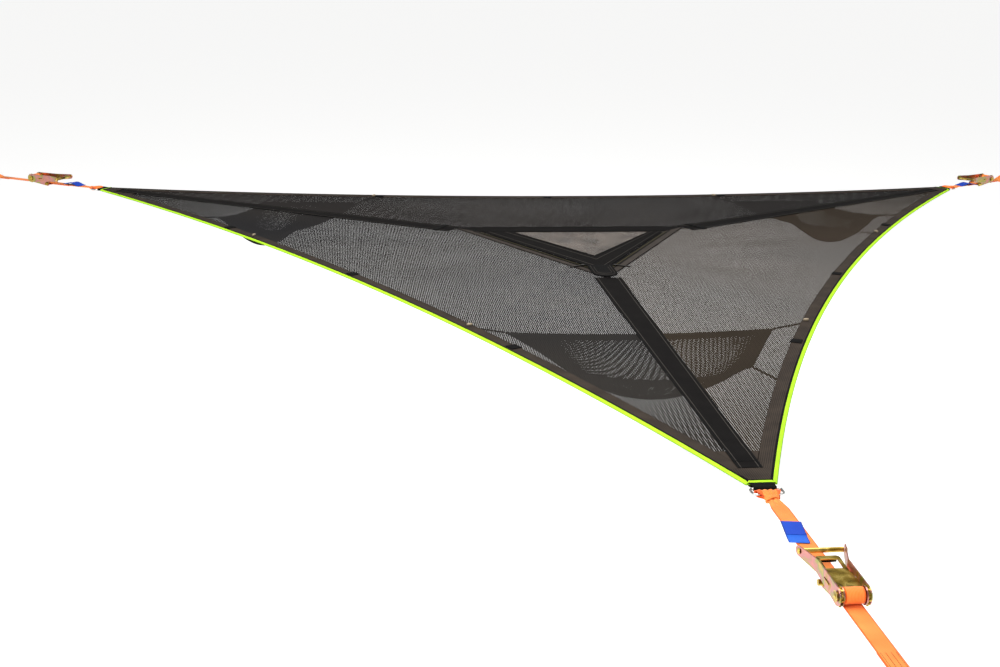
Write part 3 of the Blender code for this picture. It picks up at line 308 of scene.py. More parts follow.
# A lighter, slacker mesh, its tone drifting in patches a few centimetres across
flap_mesh = knit_mesh("fine_flap_mesh", ("#4c4641", "#6e655d"), 0.52, 0.42, drift=14.0)
# Tightly woven polyester tape: near black, with ribs along it (drawn at 4 mm, really 1.5 mm)
black_band = woven("black_polyester_band", ("#0c0b0b", "#191716"), 0.85, 0.06, 4.0, 0.3)
# Coated oxford cloth: brown-black where it is doubled. The single layer's lighter colour is painted
# light:
# the light that one layer lets through is painted into the border cloth
hem_cloth = woven("coated_oxford_hem", ("#221d1a", "#443b33"), 0.8, 0.12, 5.0, 0.3)
border_cloth = woven("single_oxford_border", ("#2b2724", "#4a433d"), 0.8, 0.12, 6.0, 0.3)
# Grosgrain in fluorescent yellow-green, ribbed across; darker green at both edges, the outer one
# where it folds down
neon_tape = woven("neon_grosgrain", ("#9edc1c", "#c8f634"), 0.7, 0.15, 2.4, 0.3, False,
                  (4.9, "#76a512"))
# Nylon webbing that swallows the light
black_webbing = woven("black_webbing", ("#070707", "#141313"), 0.8, 0.08, 2.6, 0.4)
# Polyester sewing thread, paler than the cloth it lies on
sewing_thread = woven("grey_sewing_thread", ("#2b2825", "#4a453f"), 0.7, 0.2, 1.6, 0.2)
# Heavy polyester webbing: ribs along it and a deeper, tighter selvedge
orange_webbing = woven("orange_polyester_webbing", ("#f96e0e", "#ffa24c"), 0.6, 0.25, 2.6, 0.5,
                       selvedge=(16.8, "#f2600c"))
orange_webbing.node_tree.nodes["Principled BSDF"].inputs["Sheen Weight"].default_value = 0.15
# Damask label, smooth and a little shiny, in two blues
blue_satin = woven("blue_woven_label", ("#0634a6", "#0f4cc6"), 0.5, 0.25, 1.4, 0.1,
                   selvedge=(19.6, "#082f86"))
pale_satin = woven("paler_woven_label", ("#1450bc", "#266cdc"), 0.5, 0.25, 1.4, 0.1,
                   selvedge=(19.6, "#0b3ea4"))
# Knotted nylon yarn, braided elastic and a moulded toggle: black, black and dull tan
net_yarn = woven("black_nylon_net", ("#060606", "#121111"), 0.8, 0.12, 1.2, 0.1)
elastic = woven("black_elastic_cord", ("#100f0f", "#262322"), 0.75, 0.2, 2.4, 0.3)
toggle_plastic = woven("tan_moulded_toggle", ("#867863", "#aa9b80"), 0.45, 0.5, 1.5, 0.1)
# Nylon zip coil, dyed olive
olive_coil = woven("olive_nylon_coil", ("#2c2817", "#57502e"), 0.6, 0.2, 3.0, 0.1)
# Yellow-passivated zinc: a thin film in olive, gold and pink, satin from the barrel plating
yellow_zinc = zinc_plate("yellow_zinc_plate", ("#463812", "#a98c34", "#d8bd62", "#5d4e1e"),
                         (0.22, 0.36), 24.0)
iridescent_zinc = zinc_plate(
    "iridescent_zinc_plate", ("#a8893a", "#cf8f7c", "#bf8484", "#9aa256", "#c9a55a"),
    (0.24, 0.38), 26.0)
# Spring steel oiled black, and bright steel with a soft polish
dark_steel = zinc_plate("blackened_spring_steel", ("#1b1a17", "#3b372e"), (0.3, 0.45), 60.0)
steel = zinc_plate("polished_steel", ("#a4a4a0", "#d2d2ce", "#bcbcb8"), (0.14, 0.26), 60.0)


# Pieces

def piece(name, shape, material, stands_for=(), body="bed"):
    """A named mesh of (points, faces, cloth coordinates), riding on a body."""
    points, faces, lay = shape
    mesh = bpy.data.meshes.new(name)
    mesh.from_pydata(np.array(points, float).tolist(), [],
                     [tuple(int(i) for i in face) for face in faces])
    mesh.materials.append(material)
    uv = mesh.uv_layers.new(name="lay")
    corners = np.zeros(len(mesh.loops), int)
    mesh.loops.foreach_get("vertex_index", corners)
    uv.data.foreach_set("uv", np.array(lay, np.float32)[corners].ravel())
    mesh.shade_smooth()
    mesh.set_sharp_from_angle(angle=radians(50))
    mesh.update()
    thing = linked(name, mesh)
    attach(thing, body)
    if stands_for:
        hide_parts(*stands_for)
    return thing


def gather(parts):
    """Several shapes as one."""
    faces, first = [], 0
    for points, some_faces, _ in parts:
        faces += [[first + i for i in face] for face in some_faces]
        first += len(points)
    return np.vstack([part[0] for part in parts]), faces, np.vstack([part[2] for part in parts])


def run_of(path):
    """Distance along a path at each of its points."""
    return np.concatenate([[0.0], np.cumsum(np.linalg.norm(np.diff(path, axis=0), axis=1))])


def resample(path, step=None, count=None):
    """The same line with points a step apart, or with a count of points."""
    path = np.array(path, float)
    run = run_of(path)
    places = np.linspace(0, run[-1], count or max(2, round(run[-1] / step) + 1))
    return np.stack([np.interp(places, run, axis) for axis in path.T], -1)


def ease(value):
    """0 below 0, 1 above 1 and smooth between."""
    value = min(1.0, max(0.0, value))
    return value * value * (3 - 2 * value)


def between(pair, share):
    return pair[0] + (pair[1] - pair[0]) * share


def line(start, end, steps=40):
    return [start.lerp(end, i / steps) for i in range(steps + 1)]


def placed(points, z):
    """Plan points round the bed's middle, at a height or at one height for each."""
    return np.column_stack([np.array(points, float)[:, :2] + BED_CENTRE,
                            np.broadcast_to(z, len(points))])


def thick_sheet(grid, lay, thickness):
    """Closed thin body round a grid of points, which is its middle."""
    grid = np.array(grid, float)
    rows, columns = grid.shape[:2]
    normal = np.cross(np.gradient(grid, axis=1), np.gradient(grid, axis=0))
    normal /= np.linalg.norm(normal, axis=2, keepdims=True) + 1e-12
    normal *= -1.0 if normal[..., 2].mean() < 0 else 1.0
    count = rows * columns
    index = np.arange(count).reshape(rows, columns)
    faces = []
    for a in index[:-1, :-1].ravel():
        b = count + a
        faces += [(a, a + 1, a + columns + 1, a + columns),
                  (b, b + columns, b + columns + 1, b + 1)]
    rim = [*index[0], *index[1:, -1], *index[-1, -2::-1], *index[-2:0:-1, 0]]
    faces += [(a, count + a, count + b, b) for a, b in zip(rim, rim[1:] + rim[:1])]
    sides = [(grid + normal * half).reshape(-1, 3) for half in (thickness / 2, -thickness / 2)]
    return np.vstack(sides), faces, np.vstack([np.array(lay, float).reshape(-1, 2)] * 2)


def skin(loops, wrap=False, inward=False):
    """Points and faces through loops of points, capped at both ends unless they wrap."""
    count, sides = loops.shape[:2]
    total = count * sides
    faces = []
    for i in range(count if wrap else count - 1):
        for k in range(sides):
            a, b = i * sides + k, i * sides + (k + 1) % sides
            c, d = (b + sides) % total, (a + sides) % total
            faces.append((a, d, c, b) if inward else (a, b, c, d))
    if not wrap:
        first, last = range(sides), range(total - sides, total)
        faces += [first, last[::-1]] if inward else [first[::-1], last]
    return loops.reshape(-1, 3), faces


def strap_body(path, side, halves, thickness, columns=6, lift=None, taper=0.35):
    """Flat strap along a path, with rounded edges.  lift(run, s) raises it along its normal."""
    path = np.array(path, float)
    side = np.broadcast_to(side, path.shape)
    tangent = np.gradient(path, axis=0)
    tangent /= np.linalg.norm(tangent, axis=1, keepdims=True)
    up = np.cross(tangent, side)
    up /= np.linalg.norm(up, axis=1, keepdims=True)
    run = run_of(path)
    share = np.linspace(-1.0, 1.0, columns + 1)
    share = np.concatenate([[-1.0], [-0.94], share[1:-1], [0.94], [1.0]])
    half_thick = np.where(np.abs(share) > 0.97, taper, 1.0) * thickness / 2
    over = share * np.broadcast_to(halves, len(path))[:, None]
    rise = np.array([[lift(r, s) if lift else 0.0 for s in share] for r in run])
    middle = path[:, None] + over[..., None] * side[:, None] + rise[..., None] * up[:, None]
    swell = half_thick[:, None] * up[:, None]
    lay = np.stack([np.broadcast_to(run[:, None], over.shape), over], -1)
    points, faces = skin(np.hstack([middle + swell, (middle - swell)[:, ::-1]]), inward=True)
    return points, faces, np.hstack([lay, lay[:, ::-1]]).reshape(-1, 2)


def round_cord(path, radius, sides=10, twist=None):
    """Round tube along a path.  twist is the lay of a two-strand cord, in metres."""
    path = np.array(path, float)
    radius = np.broadcast_to(radius, len(path))
    tangent = np.gradient(path, axis=0)
    tangent /= np.linalg.norm(tangent, axis=1, keepdims=True)
    run = run_of(path)
    normal = np.cross(tangent[0], (0.0, 0.0, 1.0))
    if np.linalg.norm(normal) < 0.1:
        normal = np.cross(tangent[0], (1.0, 0.0, 0.0))
    loops, lays = [], []
    turn = np.linspace(0, 2 * pi, sides, endpoint=False)
    for i in range(len(path)):
        normal = normal - tangent[i] * (normal @ tangent[i])
        normal /= np.linalg.norm(normal)
        other = np.cross(tangent[i], normal)
        swell = 1.0 + 0.40 * np.cos(2 * (turn - pi * run[i] / twist)) if twist else 1.0
        ring = np.outer(np.cos(turn) * swell, normal) + np.outer(np.sin(turn) * swell, other)
        loops.append(path[i] + radius[i] * ring)
        lays.append(np.stack([np.full(sides, run[i]), turn * radius[i]], -1))
    return *skin(np.array(loops)), np.vstack(lays)


def in_corner(corner, points):
    """World places of points in a corner's frame.  Pairs lie in its upright middle plane."""
    matrix = corner_frame(corner)
    return [matrix @ Vector((p[0], 0.0, p[1]) if len(p) == 2 else p) for p in points]


def corner_strap(corner, route, halves, *sizes, **settings):
    return strap_body(in_corner(corner, route), (*across(corner), 0.0), halves, *sizes, **settings)


def stitches(corner, spots, middle, end, low, high):
    """Threads from (u, t) spots, over a middle to an end, both counted from the spot."""
    return gather([round_cord(in_corner(corner, [
        (u, t, low), (u + middle[0], t + middle[1], high), (u + end[0], t + end[1], low)]),
        THREAD_RADIUS, 6) for u, t in spots])


def arc(centre, radius, start, stop, steps):
    return [(centre + radius * cos(a), radius * sin(a))
            for a in np.radians(np.linspace(start, stop, steps + 1))]


# Tree straps: taut from under the roll to a sewn eye that stands for what holds them

def tree_strap(corner):
    end, straight = ANCHOR_REACH[corner], ANCHOR_REACH[corner] - EYE_NECK
    second = -(WEBBING_THICKNESS + SEAT_GAP)
    route = resample([
        (SPOOL_REACH[corner], 0.0), (straight, 0.0),
        *arc(end, EYE_RADIUS + WEBBING_THICKNESS / 2, 108.0, -114.0, 28), (straight, second)],
        0.004)
    strap = piece("tree_webbing_" + corner,
                  corner_strap(corner, route, WEBBING_HALF, WEBBING_THICKNESS),
                  orange_webbing, ["tree_strap_" + corner])
    tail = [(straight - EYE_STITCHED * i / 12, second) for i in range(13)]
    sewn = piece("tree_webbing_sewn_end_" + corner,
                 corner_strap(corner, tail, WEBBING_HALF, WEBBING_THICKNESS),
                 orange_webbing)
    spots = [(straight - 0.004 - 0.006 * i, t) for i in range(9)
             for t in (-0.014, -0.005, 0.005, 0.014)]
    thread = piece("tree_webbing_stitching_" + corner, stitches(
        corner, spots, (-0.0015, 0.0006), (-0.0035, 0.0), 0.9 * MM, 1.15 * MM),
        net_yarn)
    points = [tuple(p) for p in in_corner(corner, route)]
    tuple(points[0])


for corner in CORNER_ANGLE:
    tree_strap(corner)


# Storage nets and their cords

def net_point(corner, over, along):
    """Middle of a net's cloth.  over runs across it from -1 to 1, along to the corner."""
    net, sweep, middle = NETS[corner], along ** 0.7, 1 - over ** 2
    push = net["push"] * sin(pi * along) * middle
    sag = between(net["sag"], along) + net["belly"] * sin(pi * along ** 1.6)
    return corner_frame(corner) @ Vector((
        -between(net["reach"], sweep) - push, between(net["half"], sweep) * over,
        -between(net["drop"], along) - sag * middle - 1.5 * MM))


def net_hem(corner, over, along, steps=40):
    """Strip of the net's hem between two shares each way."""
    grid = np.array([[net_point(corner, between(over, i / steps), between(along, j / steps))
                      for i in range(steps + 1)] for j in range(steps + 1)])
    grid = grid[::10] if along[1] - along[0] < over[1] - over[0] else grid[:, ::10]
    return thick_sheet(grid, grid[..., 1::-1], 2.8 * MM)


def net_cords(corner):
    """Twisted cords from the net's four corners to the underside of the bed's hem."""
    for side, edge in zip((1, -1), edges_at(corner)):
        for along, share in enumerate(NETS[corner]["anchor"]):
            spot = edge_point(edge, share if side == 1 else 1 - share, NET_ANCHOR_INSET)
            end = Vector(placed([spot], -0.6 * MM - SEAT_GAP - NET_CORD / 2)[0])
            start = net_point(corner, side, along)
            points = line(start, end, 60)
            level_run = (end - start).normalized()
            level_run.z = 0.0
            points += [end + level_run * 0.010 * i / 3 for i in range(1, 4)]
            points = [tuple(p) for p in points]
            cord = piece(f"{corner}_{2 * along + (side + 1) // 2}_net_cord",
                         round_cord(points, NET_CORD / 2, 12, twist=0.011), elastic)
            extra = []
            if along == 0:
                lift = Vector((0.0, 0.0, BAND_TOP + 5.0 * MM + SEAT_GAP + NET_CORD / 2))
                way = level_run.normalized()
                profile = ((-8.5, 2.2), (-7.5, 3.6), (-3.0, 4.3), (3.0, 4.3), (7.5, 3.6),
                           (8.5, 2.2))
                extra = [piece(f"cord_toggle_{corner}_{side + 1}", round_cord(
                    [end + lift + way * a * MM for a, _ in profile],
                    [r * MM for _, r in profile], 20), toggle_plastic)]
            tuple(points[0])


def storage_net(corner):
    """Diamond netting with a wide hem.  Its cells are drawn at 11 mm, really near 6 mm."""
    columns, rows = 74, 76
    width = columns + 1
    points = [net_point(corner, 2 * min(1.0, (i + 0.5 * (j % 2)) / columns) - 1, j / rows)
              for j in range(rows + 1) for i in range(width)]
    faces = []
    for j in range(rows - 1):
        shift = j % 2
        for i in range(1 - shift, columns):
            left = (j + 1) * width + i - 1 + shift
            faces.append((j * width + i, left, (j + 2) * width + i, left + 1))
    net = piece("pocket_net_" + corner, (points, faces, [(p.y, p.x) for p in points]), net_yarn,
                ["storage_net_" + corner])
    strands = net.modifiers.new("strands", "WIREFRAME")
    strands.thickness = 4.0 * MM
    strands.use_even_offset = False
    wide, deep = 0.022 / NETS[corner]["half"][0] / 1.2, 0.06
    hem = piece("pocket_net_hem_" + corner, gather([net_hem(corner, *strip) for strip in (
        ((-1, 1), (0.0, deep)), ((-1, 1), (1 - deep, 1.0)),
        ((-1, wide - 1), (0.0, 1.0)), ((1 - wide, 1), (0.0, 1.0)))]), net_yarn)
    grid = np.array([[net_point(corner, i / 12 - 1, j / 24) for i in range(25)]
                     for j in range(25)])


for corner in CORNER_ANGLE:
    net_cords(corner)
    storage_net(corner)


# The bed

def turned(grid, axis):
    """Plan coordinates along an axis and across it."""
    x, y = grid[..., 0], grid[..., 1]
    return np.stack([x * axis.x + y * axis.y, y * axis.x - x * axis.y], -1)


def plan_area(points):
    x, y = np.array(points, float)[:, :2].T
    return abs(float(x @ np.roll(y, -1) - y @ np.roll(x, -1))) / 2


# Angle from the panel's edge to its ribs: front to back in the side panels
PANEL_GRAIN = dict(zip(EDGES, (30.0, 0.0, -30.0)))


def mesh_panel(edge):
    """Cloth from the hatch's seam to the binding, a little slack between its seams."""
    chord = (direction(edge[1]) - direction(edge[0])).normalized()
    inner = [direction(corner) * (2 * HATCH_INRADIUS + SEAT_GAP) for corner in edge]
    tips = [direction(corner) * (APEX_RADIUS - CORNER_CUT[corner] - MESH_INSET) for corner in edge]
    outer = [tips[0], *edge_curve(edge, MESH_INSET, MESH_INSET), tips[1]]
    steps, depth = 120, 40
    inner, outer = resample(inner, count=steps + 1), resample(outer, count=steps + 1)
    share = np.linspace(0, 1, steps + 1)
    rows = []
    for t in np.linspace(0, 1, depth + 1):
        slack = (np.sin(pi * share) * sin(pi * t)) ** 2
        ripple = np.sin(26 * share + 3 * t) * 1.4 * MM + np.sin(61 * share - 5 * t) * 0.6 * MM
        rows.append(placed(inner * (1 - t) + outer * t, -slack * (5.0 * MM + ripple)))
    grid = np.array(rows)
    grain = Matrix.Rotation(radians(PANEL_GRAIN[edge]), 2) @ chord
    ribs = turned(grid[..., :2] - BED_CENTRE, grain)
    # Its thread colour is painted light, lighter or darker for each panel
    cloth = piece("bed_mesh_" + "_".join(edge), thick_sheet(grid, ribs, 0.35 * MM),
                  MESH_CLOTH_PAINTED_LIGHT[edge], ["mesh_panel_" + "_".join(edge)])
    round(plan_area([*inner, *outer[::-1]]), 3)


TAB_COVER_HALF, TAB_SLOPE = 0.0325, 0.007


def over_tab(offset):
    """1 over the corner's tab, 0 beside it."""
    return ease((TAB_COVER_HALF + TAB_SLOPE - abs(offset)) / TAB_SLOPE)


def bed_loop(inset, z, over_z):
    """One loop round the bed.  Across each cut corner it passes over the tab at over_z."""
    points, heights = [], []
    for edge, following in zip(EDGES, EDGES[1:] + EDGES[:1]):
        curve = edge_curve(edge, inset, inset)
        after = edge_curve(following, inset, inset)[0]
        side, middle = across(edge[1]), corner_middle(edge[1])
        cut = line(curve[-1], after, 20)[1:-1]
        points += curve + cut
        heights += [z] * len(curve) + [z + (over_z - z) * over_tab(p.dot(side) - middle)
                                       for p in cut]
    return placed(points, heights)


def closed_section(section, middle=0.0):
    """Skin through loops round the bed at each (inset, height, height over a tab) in mm."""
    section = np.array(section) * MM
    loops = np.array([bed_loop(*place) for place in section])
    places = run_of(loops[0])
    lays = [np.column_stack([places, np.full(len(places), inset - middle)])
            for inset in section[:, 0]]
    return *skin(loops, wrap=True), np.vstack(lays)


def tape(rows, low, high):
    """Flat tape between two heights over rows of plan points."""
    grid = np.array([placed(row, (low + high) / 2) for row in rows])
    lay = np.stack(np.broadcast_arrays(run_of(grid[0]), run_of(grid[:, 0])[:, None]), -1)
    return thick_sheet(grid, lay, high - low)


def patch_rows(corner, inset, first_depth, last_depth, steps=16, columns=16):
    """Rows across a corner, from edge to edge, between two depths behind its cut."""
    rows = []
    for depth in np.linspace(first_depth, last_depth, steps + 1) + CORNER_CUT[corner]:
        first, last = (edge_point(edge, share_at(edge, corner, inset, depth), inset)
                       for edge in edges_at(corner))
        if (first - last).dot(across(corner)) < 0.004:
            middle = (first + last) / 2
            first, last = middle + across(corner) * 0.002, middle - across(corner) * 0.002
        rows.append(line(last, first, columns))
    return rows


def corner_cover(corner):
    """Brown cloth over the corner's tab, from the binding to the end of the band."""
    side, middle = across(corner), corner_middle(corner)
    grid = np.array([placed(row, [(2.85 + 1.65 * over_tab(p.dot(side) - middle)) * MM for p in row])
                     for row in patch_rows(corner, 0.0158, 0.0128, 0.0790, 20, 36)])
    return thick_sheet(grid, turned(grid, direction(corner)), 0.7 * MM)


for edge in EDGES:
    mesh_panel(edge)
hems = [tape([edge_curve(edge, MESH_INSET + 0.0002 + HEM_WIDTH * k / 4, MESH_INSET)
              for k in range(5)], BAND_LOW, BAND_TOP) for edge in EDGES]
hems += [tape(patch_rows(corner, MESH_INSET + HEM_WIDTH - 0.002, MESH_INSET, PATCH_DEPTH),
              BAND_LOW, BAND_TOP) for corner in CORNER_ANGLE]
piece("bed_hem", gather(hems), hem_cloth, ["edge_hem"])
# Folded tape, pulled down at its outer side
FOLD = [(12.0, 2.6, 4.7), (11.2, 3.1, 5.0), (8.0, 2.4, 5.0), (4.0, 1.0, 4.8), (1.2, -0.3, 4.3),
        (0.2, -1.0, 1.0), (0.0, -1.35, -1.35), (0.3, -1.75, -1.75), (2.0, -2.0, -2.0),
        (7.0, -2.0, -2.0), (11.8, -1.9, -1.9), (11.9, -0.9, -0.9), (11.9, 1.6, 1.6)]
piece("bed_binding", closed_section(FOLD, 6.0 * MM), neon_tape, ["edge_binding"])
# Black tape that laps over the fold's inner side
PIPING = [(10.3, 3.1, 5.2), (10.5, 3.6, 5.6), (12.0, 3.9, 5.9), (14.6, 3.7, 5.7), (15.4, 3.2, 5.4),
          (15.6, 2.45, 4.95), (12.35, 2.45, 4.95), (12.35, 3.2, 5.2), (11.2, 3.25, 5.25)]
piece("binding_piping", closed_section(PIPING), black_webbing)
for corner in CORNER_ANGLE:
    piece("corner_cover_" + corner, corner_cover(corner), hem_cloth)

# Webbing tabs sewn across the hem, at shares of each edge
EDGE_TABS = dict(zip(EDGES, ((0.286, 0.50, 0.727), (0.305, 0.50, 0.681), (0.27, 0.484, 0.717))))
piece("edge_tabs", gather([tape([[
    edge_point(edge, share + 0.0042 * (i / 6 - 1), 0.0202 + 0.0335 * k / 4) for i in range(13)]
    for k in range(5)], BAND_TOP + 0.2 * MM, BAND_TOP + 2.4 * MM)
    for edge, shares in EDGE_TABS.items() for share in shares]), black_webbing)


def radial_band(corner):
    """Doubled band from the hatch to the corner, lapped over the corner patch."""
    out, side = np.array((*direction(corner), 0.0)), np.array((*across(corner), 0.0))
    cut, inner = APEX_RADIUS - CORNER_CUT[corner], 2 * HATCH_INRADIUS
    start = inner + 2 * BORDER_SIDE + (-0.012 if corner == "front" else 0.03)
    stop = cut - BAND_END
    radius = np.linspace(start, stop, 121)
    share = (radius - inner) / (stop - inner)
    rise = np.clip((radius - cut + PATCH_DEPTH) / 0.03 + 1, 0, 1)
    plan = np.outer(radius, out) + np.outer(share * corner_middle(corner, BAND_END), side)
    route = placed(plan, (BAND_LOW + BAND_TOP) / 2 + rise * 1.8 * MM)
    halves = between(BAND_HALF, share)
    piece("bed_band_" + corner, strap_body(route, side, halves, BAND_TOP - BAND_LOW, 8),
          black_band, ["radial_band_" + corner])

    def rows(shares, half, thickness):
        return [strap_body(route + np.outer(halves * s, side) + (0, 0, 1.0 * MM), side, half,
                           thickness, 2) for s in shares]

    seams, threads = rows((-0.95, 0.95), 0.0022, 0.9 * MM), rows((-0.74, 0.74), 0.0009, 0.7 * MM)
    ends = route[-1] + (0, 0, 1.0 * MM) + np.outer(halves[-1] * 0.9 * np.arange(-4, 5) / 4, side)
    seams += [strap_body(ends - out * inwards, out, 0.0018, 0.9 * MM, 2)
              for inwards in (0.004, 0.040)]
    piece("bed_band_seams_" + corner, gather(seams), black_webbing)
    piece("bed_band_threads_" + corner, gather(threads), sewing_thread)
    if corner != "front":
        # Webbing keeper across the band, beside the hatch's corner
        k = np.arange(-8, 9) / 8
        keeper = route[4] + (0, 0, 3.0 * MM) + np.outer(0.054 * k, side)
        keeper[:, 2] -= 2.2 * MM * k ** 6
        piece("band_keeper_" + corner, strap_body(keeper, out, 0.0115, 2.6 * MM, 4),
              black_webbing)


for corner in CORNER_ANGLE:
    radial_band(corner)


# Hatch

def triangle(past, far_past=None):
    """Corners of a triangle that lies past the hatch's opening, or inside it where negative."""
    side = HATCH_INRADIUS + past
    far = side if far_past is None else HATCH_INRADIUS + far_past
    half = (far + 2 * side) / sqrt(3)
    return [Vector((0.0, -2 * side)), Vector((half, far)), Vector((-half, far))]


def ruled(ends, other_ends, shares, low, high):
    """Flat tape with straight rows, at shares of the way from one pair of points to another."""
    rows = [line(*(a.lerp(b, s) for a, b in zip(ends, other_ends))) for s in shares]
    return tape(rows, low, high)


def strips(outer, inner, low, high, columns=4, sides=(0, 1, 2)):
    """Flat strips between two triangles, mitred at the corners: right, far and left side."""
    return [ruled((outer[k], outer[k - 2]), (inner[k], inner[k - 2]),
                  np.linspace(0, 1, columns + 1), low, high) for k in sides]


# The two front sides take the border cloth, whose lighter colour is painted light let through one
# layer
for name, cloth, shape in zip(
        ("right", "far", "left"), (border_cloth, black_band, border_cloth),
        strips(triangle(BORDER_SIDE, BORDER_FAR), triangle(SEAT_GAP), BAND_LOW, BAND_TOP)):
    piece("hatch_seam_" + name, shape, cloth, ["hatch_border"])
seam_lines = []
for side, far in ((BORDER_SIDE, BORDER_FAR), (0.0145, 0.0145)):
    seam_lines += strips(triangle(side, far), triangle(side - 0.004, far - 0.004),
                         BAND_TOP + 0.1 * MM, BAND_TOP + 0.9 * MM, 2)
piece("hatch_seam_lines", gather(seam_lines), black_webbing)


def flap_panel():
    """Mesh of the flap, with its slack pulled into creases that run to its front corner."""
    tip, right, left = triangle(-SEAT_GAP)
    right, left = right.lerp(left, 0.012), left.lerp(right, 0.012)
    s = np.linspace(0, 1, 65)
    rows = []
    for t in 0.01 + 0.99 * s:
        free = (np.sin(pi * s) * sin(pi * t)) ** 2
        folds = abs(np.sin(9 * s + 2 * t)) + 0.6 * abs(np.sin(17 * s - 4 * t + 1))
        rows.append(placed(line(tip.lerp(left, t), tip.lerp(right, t), 64),
                           -free * folds * 3.0 * MM))
    grid = np.array(rows)
    flap = piece("hatch_flap_mesh", thick_sheet(grid, grid[..., 1::-1], 0.5 * MM), flap_mesh,
                 ["hatch_panel"], "hatch_flap")


# The flap's V of doubled bands: wide at the front corner, the right arm tapering to the hinge
BAND_INSET = 0.012
V_WIDTH, V_SHIFT = 0.110, 0.013
V_END = ((1, 0.045), (-1, 0.102))        # side, width at the hinge


def flap_bands():
    """The bands, their seams and their rows of thread."""
    far, edge = HATCH_INRADIUS - SEAT_GAP, HATCH_INRADIUS - BAND_INSET
    bands, seams, threads = [], [], []
    for sign, end in V_END:
        outer, inner = (
            (Vector((shift, 2 * (width - edge))),
             Vector((sign * (far + 2 * (edge - end_width)) / sqrt(3), far)))
            for shift, width, end_width in ((0.0, 0.0, 0.0), (V_SHIFT, V_WIDTH, end)))
        bands.append(ruled(outer, inner, np.linspace(0, 1, 7), BAND_LOW, BAND_TOP))
        seams += [ruled(outer, inner, shares, BAND_TOP + 0.1 * MM, BAND_TOP + 1.0 * MM)
                  for shares in ((0.0, 0.05), (0.93, 1.0))]
        threads += [ruled(outer, inner, shares, BAND_TOP + 0.1 * MM, BAND_TOP + 0.7 * MM)
                    for shares in ((0.20, 0.22), (0.74, 0.76))]
    piece("flap_v_bands", gather(bands), black_band, ["hatch_flap_bands"],
          "hatch_flap")
    piece("flap_v_seams", gather(seams), black_webbing, body="hatch_flap")
    piece("flap_v_threads", gather(threads), sewing_thread, body="hatch_flap")


flap_panel()
flap_bands()
# The flap's half of the zip tape, between its bands and the border
piece("flap_zip_tape", gather(strips(triangle(-0.0007), triangle(-0.0117), 0.35 * MM, 0.85 * MM, 2,
                                     (0, 2))), black_webbing, body="hatch_flap")


def flap_tab():
    """Round-ended webbing tab over the front corner of the hatch, with a rolled lip."""
    half = 0.042
    start, end = 2 * HATCH_INRADIUS - 0.083, 2 * HATCH_INRADIUS + 0.070
    out, side = direction("front"), across("front")
    rows = []
    for i in range(33):
        along = start + (end - start) * (1 - (1 - i / 32) ** 1.6)
        past = along - (end - half)
        width = half if past < 0 else sqrt(max(half ** 2 - past ** 2, 1e-8)) + 0.0004
        rows.append([out * along + side * width * (k / 6 - 1) for k in range(13)])
    grid = np.array([placed(row, 5.7 * MM) for row in rows])
    grid[..., 2] += np.sin(np.linspace(0, pi, 13)) ** 0.5 * 1.4 * MM
    rim = [row[0] for row in rows] + [row[-1] for row in rows[-2::-1]]
    middle = out * (start + end) / 2
    lip, *threads = [
        round_cord(resample(placed([middle.lerp(p, scale) for p in rim], z * MM), 0.004), radius, n)
        for scale, z, radius, n in ((1.0, 6.6, 0.0022, 10), (0.84, 8.2, 0.0009, 6),
                                    (0.60, 8.5, 0.0009, 6))]
    piece("flap_corner_tab", gather([thick_sheet(grid, grid[..., 1::-1], 2.6 * MM), lip]),
          black_webbing, ["hatch_flap_tab"], "hatch_flap")
    piece("flap_tab_threads", gather(threads), sewing_thread, body="hatch_flap")


def zip_line(far_corner):
    """Coil zip: its tape and the teeth."""
    reach, low, pitch = 2 * (HATCH_INRADIUS + 0.005), 2.7 * MM, 0.0024
    start, stop = direction("front") * reach, direction(far_corner) * reach
    run, length = (stop - start).normalized(), (stop - start).length
    side = run.orthogonal()
    route = placed(line(start + run * 0.014, stop - run * 0.014), low + 0.35 * MM)
    piece("zip_tape_" + far_corner, strap_body(route, (*side, 0.0), 0.003, 0.7 * MM, 2),
          black_webbing, ["hatch_zip_" + far_corner])
    teeth = []
    for i in range(int((length - 0.032) / pitch)):
        spot = start + run * (0.016 + i * pitch)
        foot = [spot + run * 0.0008 * p + side * 0.0017 * q
                for p, q in ((-1, -1), (1, -1), (1, 1), (-1, 1))]
        box = np.array([placed(foot, low + height * MM) for height in (0.7, 1.2)])
        teeth.append((*skin(box), [(0.0, 0.0)] * 8))
    piece("zip_teeth_" + far_corner, gather(teeth), olive_coil)


flap_tab()
zip_line("left")
zip_line("right")


# Corners: tab, short strap, label, wound webbing

def ring_tab(corner):
    half, cut = 0.6 * MM, -CORNER_CUT[corner]
    start, bend, upper, lower = cut - 0.077, cut + RING_INNER_BAR, 3.3 * MM, -2.7 * MM
    route = resample([
        (start, upper), (cut, upper), (bend - 0.010, upper),
        *arc(bend, RING_WIRE + SEAT_GAP + half, 90.0, -90.0, 12),
        (bend - 0.010, lower), (cut, lower), (start, lower)], 0.003)
    halves = np.interp(route[:, 0], [cut, cut + 0.012], [0.030, 0.026])
    body = corner_strap(corner, route, halves, 2 * half, 14, taper=0.9,
                        lift=lambda run, s: 0.25 * MM * sin(9 * s + 40 * run))
    piece("corner_tab_" + corner, body, black_webbing, ["ring_tab_" + corner])


def pleats(count, depth, start, stop):
    """Lift of a strap that is gathered between two distances along it."""
    def lift(run, s):
        inside = ease((run - start) / 0.012) * ease((stop - run) / 0.012)
        return depth * inside * cos(count * pi * s)
    return lift


